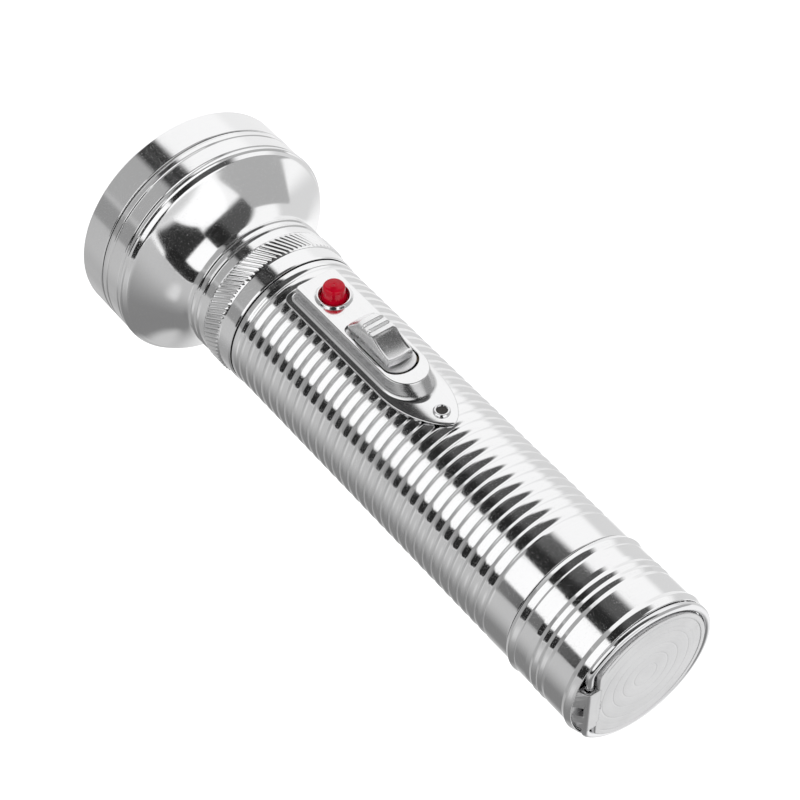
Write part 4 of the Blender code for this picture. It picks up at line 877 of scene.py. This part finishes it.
def slider_line():
    """Stations and heights along the slider's middle in even steps, and the dish's rear end.

    A rounded ramp goes up to the beads, an arc makes the dish, and a small heel ends it.
    """
    ramp = rounded([
        (HOOD_FRONT, HOOD_BASE, 0),
        (76.85, 26.8, 1.0),
        (82.9, 27.15, 0.15),
        (DISH_FRONT, DISH_HEIGHT, 0),
    ], 6.0)[:-1]
    bend = np.radians(np.linspace(35, 5, 24))
    dish = np.stack([DISH_FRONT + DISH_CURVE * (math.sin(bend[0]) - np.sin(bend)),
                     DISH_HEIGHT - DISH_CURVE * (np.cos(bend) - math.cos(bend[0]))], axis=1)
    foot_z, foot_h = dish[-1]
    heel = rounded([
        (foot_z, foot_h, 0),
        (foot_z + 0.2, foot_h + 0.1, 0.12),
        (foot_z + 0.42, foot_h, 0.15),
        (foot_z + HEEL_LENGTH, HOOD_BASE, 0),
    ], 8.0)[1:]
    line = np.vstack([ramp, dish, heel])
    step = np.concatenate([[0], np.cumsum(np.linalg.norm(np.diff(line, axis=0), axis=1))])
    even = np.linspace(0, step[-1], 330)
    return np.interp(even, step, line[:, 0]), np.interp(even, step, line[:, 1]), foot_z


def slider():
    """Thumb slider: a hood that ramps up, two beads across it and a dished rear, on a tongue.

    Across it every section is a rounded box, |x|^n + |h|^n = 1, whose corners sharpen
    towards the rear. Each bead adds a half round over the distance to a line across
    the top, and the dish takes away a crown of the width.
    """
    stations, tops, foot_z = slider_line()
    z, top = stations[:, None], tops[:, None]
    nose = np.clip((z - HOOD_FRONT) / 1.5, 0, 1)
    rear = np.clip((foot_z + HEEL_LENGTH - z) / 0.5, 0, 1)
    width = 3.8 - 2.6 * (1 - np.sqrt(1 - (1 - nose) ** 2)) - 0.35 * (1 - np.sqrt(1 - (1 - rear) ** 2))
    power = 3.4 + 10.6 * smooth((z - 76.0) / 7.0)
    turn = np.linspace(-math.pi / 2, math.pi / 2, 73)[None]
    reach = (np.abs(np.cos(turn)) ** power + np.abs(np.sin(turn)) ** power) ** (-1 / power)
    lift = reach * np.cos(turn)
    x = width * reach * np.sin(turn) * (1 - 0.07 * lift)
    height = HOOD_BASE + (top - HOOD_BASE) * lift
    on_top = smooth((lift - 0.5) / 0.3)
    for station in BEAD_STATIONS:
        past = z - station
        along = np.where(past > 0, past / BEAD_REAR, past / BEAD_FRONT)
        distance = np.sqrt((np.maximum(np.abs(x) - BEAD_REACH, 0) / 0.45) ** 2 + along**2)
        height = height + on_top * BEAD_HEIGHT * (1 + np.cos(math.pi * np.clip(distance, 0, 1))) / 2
    inside = smooth((z - 83.0) / 0.5) * (1 - smooth((z - foot_z + 0.35) / 0.35))
    height = height - on_top * inside * (0.16 * (1 - smooth((np.abs(x) - 2.95) / 0.22)) - 0.01 * x**2)
    z = z - 0.55 * (x / 3.7) ** 2 * smooth((z - 83.5) / 6.0)
    hood = new_mesh("slider_stamped", grid(on_switch(x, height, z)))
    new_piece(hood, "slider_aluminium", "slider", "slider")
    tongue = slab(full_outline(4.35, 77.4, 0.8, 88.9, 92.6, 0.5), 22.12, 22.62, 0.1)
    neck = slab(full_outline(2.9, 77.8, 0.8, 86.9, 89.4, 0.5), 22.4, 23.3, 0.1)
    skirt = slab(full_outline(5.0, 72.9, 0.8, 76.8, 77.3, 0.2), 21.95, 22.1, 0.03)
    new_piece(new_mesh("slider_tongue", tongue, neck, skirt), "brushed_aluminium", "slider")


def red_button():
    """Clear plastic button: flange below the collar, flared side, low domed top."""
    outline = rounded([
        (21.4, 0.001, 0),
        (21.4, 4.2, 0.1),
        (21.88, 4.2, 0.1),
        (21.95, 3.05, 0.1),
        (22.9, 3.0, 0.6),
        (24.3, 2.78, 2.0),
        (26.42, 2.62, 1.0),
        (26.76, 0.8, 3.0),
        (26.78, 0.001, 0),
    ], 9.0)
    turned_on_switch("red_button_cap", outline, BUTTON_STATION, 72, "red_button", "button", "red_button")


def switch_rivet():
    """Eyelet: shank through the cover, a rolled head, and a dark fibre plug down in its bore as painted shade
    in the hole.
    """
    eyelet = rounded([
        (17.1, 1.2, 0),
        (20.0, 1.2, 0.1),
        (20.34, 1.42, 0.15),
        (20.36, 1.75, 0.2),
        (20.0, 2.05, 0.15),
        (19.72, 2.1, 0.05),
        (19.66, 1.4, 0),
        (17.3, 1.4, 0),
        (17.1, 1.75, 0),
        (16.95, 1.6, 0.05),
    ], 12.0)
    core = rounded([
        (19.4, 0.001, 0),
        (19.4, 1.19, 0),
        (20.1, 1.19, 0.03),
        (20.05, 1.1, 0.05),
        (19.87, 1.0, 0.1),
        (19.85, 0.001, 0),
    ], 20.0)
    # a dark plug in the eyelet's bore: painted shade in the hole
    turned_on_switch("eyelet_shade_plug", core, EYELET_STATION, 40, "vulcanised_fibre", "barrel")
    turned_on_switch("switch_eyelet", eyelet, EYELET_STATION, 48, "plated_wire", "barrel", "switch_rivet")


# Tail


def turned_to_lug(points):
    """Points of the lug's own frame (outwards, along the hinge, up) turned to the lug's place."""
    turn = math.radians(LUG_TURN)
    u, w, z = np.moveaxis(points, -1, 0)
    x, y = u * math.cos(turn) - w * math.sin(turn), u * math.sin(turn) + w * math.cos(turn)
    return np.stack([x, y, z], axis=-1)


def plate_radius(turn):
    """Outline of the tail plate: a circle, a straight side by the hinge, arcs between them."""
    corner = np.array([RING_CORNER_U, RING_CORNER_W])
    along = corner[0] * np.cos(turn) + corner[1] * np.abs(np.sin(turn))
    arc = along + np.sqrt(np.maximum((RING_CORNER - PLATE_INSET) ** 2 - (corner @ corner - along**2), 0))
    cosine = np.maximum(np.cos(turn), 0.2)
    angle = np.degrees(np.abs(turn))
    straight_end = math.degrees(math.atan2(corner[1], HINGE_U - PLATE_INSET))
    arc_end = math.degrees(math.atan2(corner[1], corner[0]))
    radius = np.where(angle < straight_end, (HINGE_U - PLATE_INSET) / cosine, arc)
    radius = np.where(angle > arc_end, RING_RADIUS - PLATE_INSET, radius)
    return np.where(angle < RECESS_ANGLE, LUG_ROOT / cosine, radius)


def plate_disc():
    """Disc of the tail plate with its rolled edge and faint turned rings, as a polar grid.

    Circles with faint ring grooves come first, then shares of the way on to the outline
    with a groove near it, a quarter round at the edge, the side, and back below.
    """
    turn = np.radians(np.concatenate([
        np.linspace(0.05 - RECESS_ANGLE, RECESS_ANGLE - 0.05, 24),
        np.linspace(RECESS_ANGLE + 0.05, 360 - RECESS_ANGLE - 0.05, 240),
    ]))[None]
    wrapped = (turn + math.pi) % math.tau - math.pi
    out = plate_radius(wrapped)
    angle = np.degrees(np.abs(wrapped))
    edge = np.where(angle < RECESS_ANGLE, 0.02, 0.3)
    near_rings = [centre + np.linspace(-0.3, 0.3, 7) for centre in PLATE_RINGS]
    circles = np.concatenate([[0.0, 1.5], *near_rings])[:, None]
    rings = sum(0.05 * np.exp(-(((circles - centre) / 0.14) ** 2)) for centre in PLATE_RINGS)
    shares = np.concatenate([[0.15, 0.4, 0.6], np.linspace(0.68, 0.84, 9), [0.9]])[:, None]
    edge_ring = 0.12 * np.exp(-(((shares - 0.76) / 0.035) ** 2)) * smooth((angle - 38) / 12)
    arc = np.linspace(0, math.pi / 2, 6)[:, None]
    flat = np.ones_like(out)
    radius = np.concatenate([circles * flat, circles[-1] + (out - 0.32 - circles[-1]) * shares,
                             out - edge * (1 - np.sin(arc)), out, out - 0.2,
                             PLATE_BORE * flat, PLATE_BORE * flat, 0 * flat])
    height = np.concatenate([PLATE_TOP - rings * flat, PLATE_TOP - edge_ring,
                             PLATE_TOP - edge * (1 - np.cos(arc)), (PLATE_BOTTOM + 0.2) * flat,
                             PLATE_BOTTOM * flat, PLATE_BOTTOM * flat,
                             PLATE_UNDER * flat, PLATE_UNDER * flat])
    return grid(turned_to_lug(around(radius, turn, height)))


def lug_parts():
    """Hinge lug: an outline in (outwards, up) carried along the hinge round a round bore.

    Its outer face leaves out one window, whose sides reach in to the bore.
    """
    slant = LUG_FLARE / (PLATE_TOP - PLATE_BOTTOM)
    window_edges = [(LUG_FACE + (PLATE_TOP - level) * slant, level, 0)
                    for level in (HINGE_Z + WINDOW_HALF_HEIGHT, HINGE_Z - WINDOW_HALF_HEIGHT)]
    outline = rounded([
        (LUG_ROOT, PLATE_TOP - 0.015, 0),
        (LUG_FACE, PLATE_TOP - 0.015, 1.3),
        *window_edges,
        (LUG_FACE + LUG_FLARE, PLATE_BOTTOM, 0.3),
        (LUG_ROOT, PLATE_BOTTOM, 0),
    ], 12.0)
    centre = np.array([HINGE_U, HINGE_Z])
    angle = np.arctan2(outline[:, 1] - HINGE_Z, outline[:, 0] - HINGE_U)
    bore = centre + LUG_BORE * np.stack([np.cos(angle), np.sin(angle)], axis=1)
    window_ends = (WINDOW_CENTRE - 1.5, WINDOW_CENTRE + 1.5)
    w = np.array([-6.1, -6.0, -5.95, -4.5, -3.0, *window_ends, 3.2, 4.6, 7.45, 7.5, 7.6])
    squeeze = np.where(np.abs(w - 0.75) > 6.8, 0.12, 0.0)
    outwards = np.sqrt(18.6**2 - w**2) - LUG_FACE - LUG_FLARE

    def sheet(line, shrink):
        lines = centre + (line[:, None] - centre) * (1 - shrink * squeeze[None, :, None] / 1.8)
        u, z = lines[..., 0], lines[..., 1]
        low = np.clip((PLATE_TOP - z) / (PLATE_TOP - PLATE_BOTTOM), 0, 1)
        u = u + outwards * low * smooth((u - HINGE_U - LUG_BORE - 0.2) / 0.4)
        return turned_to_lug(np.stack([u, np.broadcast_to(w, u.shape), z], axis=-1))

    outer, inner = sheet(outline, 1), sheet(bore, 0)
    row = int(np.argmin(np.hypot(*(outline - window_edges[0][:2]).T)))
    column = int(np.argmin(np.abs(w - window_ends[0])))
    keep = np.ones((len(outline), len(w) - 1), dtype=bool)
    keep[row, column] = False
    parts = []
    for points, faces in (grid(walls, close_rows=True, close_columns=False) for walls in (outer, inner)):
        parts.append((points, faces.reshape(*keep.shape, 4)[keep]))
    pane = [row, row, row + 1, row + 1], [column, column + 1, column + 1, column]
    rims = [(outer[pane], inner[pane]), (outer[:, 0], inner[:, 0]), (outer[:, -1], inner[:, -1])]
    return parts + [grid(np.stack(rim)) for rim in rims]


def tail_plate():
    """Satin plate in the ring, with its hinge lug, whose wide faces are shaded flat."""
    mesh = new_mesh("tail_plate_pressed", plate_disc(), *lug_parts())
    flatten(mesh, lambda face: face.center.x > (LUG_ROOT - 0.1) * MM and face.area > 1.3 * MM**2)
    new_piece(mesh, "satin_aluminium", "tail_cap", "tail_plate")


def hang_ring():
    """Wire ring folded round the plate, a little raised on its hinge.

    The wire runs along the hinge line, turns through a small arc on to a wide circle
    and comes back the same way on the other side.
    """
    meet = math.atan2(RING_CORNER_W, RING_CORNER_U)
    along = np.linspace(RING_END_GAP, RING_CORNER_W, 20, endpoint=False)
    hinge = np.stack([np.full_like(along, HINGE_U), along], axis=1)
    turn = np.linspace(0, meet, 12, endpoint=False)
    corner = around(RING_CORNER, turn, 0)[:, :2] + (RING_CORNER_U, RING_CORNER_W)
    circle = around(RING_RADIUS, np.linspace(meet, math.tau - meet, 220), 0)[:, :2]
    path = np.vstack([hinge, corner, circle, (corner * (1, -1))[::-1], (hinge * (1, -1))[::-1]])
    tilt = math.radians(RING_TILT)
    u = HINGE_U + (path[:, 0] - HINGE_U) * math.cos(tilt)
    z = HINGE_Z - (path[:, 0] - HINGE_U) * math.sin(tilt)
    wire = tube_along(turned_to_lug(np.stack([u, path[:, 1], z], axis=1)), RING_WIRE, 20)
    new_piece(new_mesh("hang_ring_wire", wire), "plated_wire", "hang_ring", "hang_ring")


def tail_spring():
    """Cone of round wire: the turn's radius grows evenly from the cell to the cap."""
    turns, wire = 5, 0.6
    share = np.linspace(0, 1, turns * 40 + 1)
    radius = SPRING_FRONT_RADIUS + (SPRING_REAR_RADIUS - SPRING_FRONT_RADIUS) * share
    path = around(radius, share * turns * math.tau, SPRING_FRONT + (SPRING_REAR - SPRING_FRONT) * share)
    new_piece(new_mesh("tail_spring_coil", tube_along(path, wire, 12)), "tinned_steel", "tail_contact",
              "tail_spring")


# Lamp


def lens():
    """Flat clear disc with ground edges."""
    front, rear = 1.7, 3.9
    corners = [(front, 0.001, 0), (front, LENS_RADIUS, 0.25), (rear, LENS_RADIUS, 0.25), (rear, 0.001, 0)]
    outline = rounded(corners, 20.0)
    turned("lens_disc", outline, 160, "clear_glass", "lens_unit", "lens")


def reflector():
    """Spun mirror: flange, then a wall whose depth grows with the square of the radius."""
    radius = np.concatenate([np.linspace(27.1, 10.0, 40), np.linspace(9.6, REFLECTOR_HOLE, 6)])
    spread = REFLECTOR_MOUTH**2 - REFLECTOR_HOLE**2
    slope = -2 * REFLECTOR_DEPTH * radius / spread
    station = REFLECTOR_REAR - REFLECTOR_DEPTH * (radius**2 - REFLECTOR_HOLE**2) / spread
    mirror = np.stack([station, radius], axis=1)
    outward = np.stack([np.ones_like(slope), -slope], axis=1) / np.sqrt(1 + slope**2)[:, None]
    back = mirror + 0.6 * outward
    flange = rounded([
        (5.9, 27.6, 0),
        (5.9, LENS_RADIUS, 0.1),
        (5.3, LENS_RADIUS, 0.1),
        (5.3, 27.25, 0.2),
        (6.2, 26.8, 0),
    ])[1:-1]
    outline = np.vstack([[(5.9, 27.9)], flange, mirror, back[::-1]])
    turned("reflector_spun", outline, 192, "silvered_reflector", "head", "reflector")


def bulb():
    """Glass envelope with its filament: a fine coil between two stiff wires."""
    outside = rounded([
        (20.9, 4.05, 0),
        (18.9, 4.05, 0.8),
        (17.4, 5.1, 1.8),
        (14.0, 5.4, 3.0),
        (10.0, 4.9, 3.2),
        (8.6, 2.6, 2.0),
        (8.6, 0.001, 0),
    ], 8.0)
    middle, shrink, wall = 14.6, 0.93, 0.35
    z, r = outside.T
    inside = np.stack([middle + (z - middle) * shrink, np.maximum(r - wall, 0.001)], axis=1)
    turned("bulb_envelope", np.vstack([outside, inside[::-1]]), 64, "clear_glass", "bulb_unit", "bulb_glass")
    turns, half_length, radius, station = 14, 1.3, 0.16, 13.2
    share = np.linspace(0, 1, turns * 14 + 1)
    turn = share * turns * math.tau
    y, z = radius * np.cos(turn), station + radius * np.sin(turn)
    parts = [tube_along(np.stack([half_length * (2 * share - 1), y, z], axis=1), 0.045, 6)]
    for side in (-1, 1):
        foot, reach = np.array([side * 0.9, 0.0, 20.6]), np.array([side * 0.42, 0.02, -7.4])
        parts.append(tube_along(foot + np.linspace(0, 1, 8)[:, None] * reach, 0.16, 8))
    new_piece(new_mesh("bulb_filament", *parts), "plated_wire", "bulb_unit")


lens_ring()
head_shell()
knurled_band()
body_tube()
tail_cap()
switch_cover()
slider()
red_button()
switch_rivet()
tail_plate()
hang_ring()
tail_spring()
lens()
reflector()
bulb()


# Studio


def studio_level(value):
    """Brightness of a panel from its level in the picture, 0 to 255, over the metal's own tone."""
    share = value / 255
    linear = share / 12.92 if share <= 0.04045 else ((share + 0.055) / 1.055) ** 2.4
    return linear / 0.92


def panel_group():
    """Mask of one studio panel: a box in azimuth and polar angle with round corners.

    Each of its four sides has its own softness, and the left, right and low sides may
    lean. Near a corner the distance to the corner's round takes over from the sides.
    """
    group, given = new_group("studio_panel", dict.fromkeys(PANEL_INPUTS, 0.0), ["Mask"])

    def do(operation, *values):
        return maths(group, operation, *values)

    def nearer(first, second, first_value, second_value):
        return mixed(group, do("GREATER_THAN", first, second), first_value, second_value)

    down = do("SUBTRACT", given["Polar"], given["Low"])
    left = do("MULTIPLY_ADD", down, given["Left lean"], given["Left"])
    right = do("MULTIPLY_ADD", down, given["Right lean"], given["Right"])
    along = do("SUBTRACT", given["Azimuth"], given["Left"])
    low = do("MULTIPLY_ADD", along, given["Low lean"], given["Low"])
    from_left, from_right = do("SUBTRACT", given["Azimuth"], left), do("SUBTRACT", right, given["Azimuth"])
    from_low, from_high = do("SUBTRACT", given["Polar"], low), do("SUBTRACT", given["High"], given["Polar"])
    across = do("MAXIMUM", do("SUBTRACT", given["Corner"], do("MINIMUM", from_left, from_right)), 0.0)
    upright = do("MAXIMUM", do("SUBTRACT", given["Corner"], do("MINIMUM", from_low, from_high)), 0.0)
    squares = do("ADD", do("MULTIPLY", across, across), do("MULTIPLY", upright, upright))
    distance = do("SUBTRACT", do("SQRT", squares), given["Corner"])
    side = nearer(from_left, from_right, given["Left softness"], given["Right softness"])
    end = nearer(from_low, from_high, given["Low softness"], given["High softness"])
    share = do("DIVIDE", upright, do("ADD", do("ADD", across, upright), 0.0001))
    softness = mixed(group, share, side, end)
    mask = ranged(group, distance, softness, do("MULTIPLY", softness, -1.0), interpolation_type="SMOOTHSTEP")
    add(group, "NodeGroupOutput", {"Mask": mask})
    return group


PANEL_INPUTS = (
    "Azimuth", "Polar", "Left", "Right", "Low", "High", "Left softness", "Right softness",
    "Low softness", "High softness", "Corner", "Left lean", "Right lean", "Low lean")
# Panels of the studio, each laid over those before it. Azimuth runs from -240 to 120 degrees
# and is -90 in front of the switch, and the polar angle is 0 straight down. Levels are
# brightnesses in a picture, 0 to 255.
# name: level, (left, right, low, high), (softness of each), corner, (leans of left, right, low)
PANELS = {
    "back_wall": (234, (-226, -160, -10, 61), (6, 8, 5, 4), 8, (0, 0, 0)),
    "back_wall_high": (211, (-222, -164, 60, 100), (8, 8, 3, 8), 10, (0, 0, 0)),
    "side_wall": (187, (2, 108, -20, 200), (0.8, 12, 5, 5), 12, (0, 0, 0)),
    "side_low": (156, (2, 70, -5, 49), (1, 14, 4, 2.5), 3, (0, 0, 0)),
    "side_end": (182, (96, 125, 20, 53.5), (8, 2, 5, 1.5), 4, (0, 0, 0)),
    "side_strip": (205, (6, 32, 56.5, 63.6), (3, 12, 1.5, 1), 3, (0, 0, 0)),
    "side_shade": (127, (38, 92, 54, 160), (23, 14, 8, 16), 20, (0, 0, 0)),
    "side_glow": (212, (14, 36, 94, 112), (7, 7, 7, 7), 8, (0, 0, 0)),
    "side_gleam": (195, (82, 100, 79, 97), (6, 6, 6, 6), 7, (0, 0, 0)),
    "under_box": (164, (-74, -20, 15, 63), (3, 5, 5, 1.2), 5, (0, 0, 0)),
    "flag_foot": (36, (-86, -69, 45, 64), (3.5, 4, 3, 3), 3, (-0.9, 0.2, 0)),
    "under_post": (143, (-20, 4, 15, 68), (4, 1, 5, 4), 5, (0, 0, 0)),
    "soft_box": (253, (-56.6, -18.4, 60.5, 118), (1.6, 1.4, 3, 3), 7, (0, 0, 0)),
    "floor_card": (48, (-60, 2, 118, 157), (3, 2, 3, 3), 5, (0, -0.2, 0)),
    "dark_post": (36, (-17.5, 1.2, 65.4, 141), (1.5, 0.6, 4, 3), 4, (0, 0, 0)),
    "flag": (82, (-108, -58.5, 63, 129), (7, 1.2, 3, 4), 7, (-0.55, 0, 0)),
    "flag_core": (38, (-84, -59.5, 62.5, 127), (7, 1.2, 3, 4), 7, (0, 0, 0)),
    "grey_card": (170, (-185, -129, 87, 151), (2, 2, 2, 3), 5, (0, 0, 0.33)),
    "floor_sheet": (258, (-107, -72, 129, 160), (2, 2, 2, 2), 4, (-0.85, 1.15, 0)),
    "floor_end": (205, (-260, 140, 159, 200), (1, 1, 2, 2), 2, (0, 0, 0)),
}
BASE_LEVEL = 246


def panel_material():
    """Glow of the dome: every panel is laid over those before it, by its place on the dome."""
    material = bpy.data.materials.new("studio_panels")
    material.use_nodes = True
    material.cycles.emission_sampling = "NONE"
    tree = material.node_tree
    tree.nodes.remove(tree.nodes["Principled BSDF"])
    way = add(tree, "ShaderNodeVectorMath", [object_place(tree)], operation="NORMALIZE").outputs[0]
    parts = split(tree, way)
    cut = math.radians(60)
    x = maths(tree, "SUBTRACT", maths(tree, "MULTIPLY", parts[0], math.cos(cut)),
              maths(tree, "MULTIPLY", parts[1], math.sin(cut)))
    y = maths(tree, "ADD", maths(tree, "MULTIPLY", parts[0], math.sin(cut)),
              maths(tree, "MULTIPLY", parts[1], math.cos(cut)))
    azimuth = maths(tree, "SUBTRACT", maths(tree, "DEGREES", maths(tree, "ARCTAN2", y, x)), 60.0)
    polar = maths(tree, "DEGREES", maths(tree, "ARCCOSINE", maths(tree, "MULTIPLY", parts[2], -1.0)))
    level = studio_level(BASE_LEVEL)
    group = panel_group()
    for name, (shade, box, softness, corner, leans) in PANELS.items():
        mask = add(tree, "ShaderNodeGroup", [azimuth, polar, *box, *softness, corner, *leans],
                   node_tree=group).outputs[0]
        level = mixed(tree, mask, level, studio_level(shade), label=name)
    glow = add(tree, "ShaderNodeEmission", {"Strength": level})
    tree.links.new(glow.outputs[0], tree.nodes["Material Output"].inputs["Surface"])
    return material


def studio():
    """Dome that only mirror-like faces see, with the panels that they reflect."""
    size = 3000.0
    lift = np.linspace(0, math.pi, 49)[:, None]
    points = around(size * np.sin(lift), full_turn(96)[None], size * np.cos(lift))
    mesh = new_mesh("studio_dome", grid(points))
    dome = new_object("studio_dome", mesh)
    dome.location = (0, 0, 90 * MM)
    for ray in ("camera", "diffuse", "transmission", "volume_scatter", "shadow"):
        setattr(dome, f"visible_{ray}", False)
    mesh.materials.append(panel_material())


def floor():
    """Wide pale floor that keeps a faint shadow of the flashlight, and is clear from below."""
    radius = np.array([0.001, 400.0, 2200.0])[:, None]
    mesh = new_mesh("floor", grid(around(radius, full_turn(64), 0)))
    if mesh.polygons[0].normal.z < 0:
        mesh.flip_normals()
    sheet = new_object("floor", mesh)
    sheet.visible_glossy = False
    sheet.visible_transmission = False
    material, tree, shader = new_finish("floor_paper")
    grain = noise(tree, object_place(tree), 400.0, 3.0)
    tree.links.new(tinted(tree, grain, (0.93, 0.93, 0.93), (0.96, 0.96, 0.96)), shader.inputs["Base Color"])
    shader.inputs["Roughness"].default_value = 0.9
    shader.inputs["Specular IOR Level"].default_value = 0.0
    seen = add(tree, "ShaderNodeLightPath").outputs["Is Camera Ray"]
    glow = add(tree, "ShaderNodeEmission", {"Strength": maths(tree, "MULTIPLY", seen, FLOOR_GLOW)})
    both = add(tree, "ShaderNodeAddShader", [shader.outputs[0], glow.outputs[0]])
    from_below = add(tree, "ShaderNodeNewGeometry").outputs["Backfacing"]
    clear = add(tree, "ShaderNodeBsdfTransparent")
    paper = add(tree, "ShaderNodeMixShader", [from_below, both.outputs[0], clear.outputs[0]])
    tree.links.new(paper.outputs[0], tree.nodes["Material Output"].inputs["Surface"])
    mesh.materials.append(material)


def light_and_world():
    """Plain white world, white wherever it is seen, and one wide soft lamp."""
    world = bpy.data.worlds.new("studio_air")
    bpy.context.scene.world = world
    world.use_nodes = True
    tree = world.node_tree
    rays = add(tree, "ShaderNodeLightPath").outputs
    seen = maths(tree, "ADD", rays["Is Camera Ray"], rays["Is Glossy Ray"])
    seen = maths(tree, "ADD", seen, rays["Is Transmission Ray"], clamp=True)
    tree.links.new(blended(tree, seen, WORLD_LEVEL, 1.0), tree.nodes["Background"].inputs["Strength"])
    tree.nodes["Background"].inputs["Color"].default_value = (1, 1, 1, 1)
    data = bpy.data.lights.new("soft_lamp", "AREA")
    data.shape = "DISK"
    data.size = 0.9
    data.energy = 7.0
    lamp = new_object("soft_lamp", data)
    lamp.location = (0.35, -0.8, 1.1)
    aim = Vector((0, 0, 0.09)) - lamp.location
    lamp.rotation_euler = aim.to_track_quat("-Z", "Y").to_euler()
    lamp.visible_glossy = False


def camera():
    """Camera of the photograph, fitted to the flashlight's outline."""
    data = bpy.data.cameras.new("camera")
    data.lens = CAMERA_LENS
    data.sensor_width = 36.0
    data.clip_start, data.clip_end = 0.01, 20.0
    eye = new_object("camera", data)
    eye.location = Vector(CAMERA_PLACE) * MM
    eye.rotation_euler = [math.radians(angle) for angle in CAMERA_TURN]
    bpy.context.scene.camera = eye


studio()
floor()
light_and_world()
camera()
bpy.context.scene.view_settings.view_transform = "Standard"
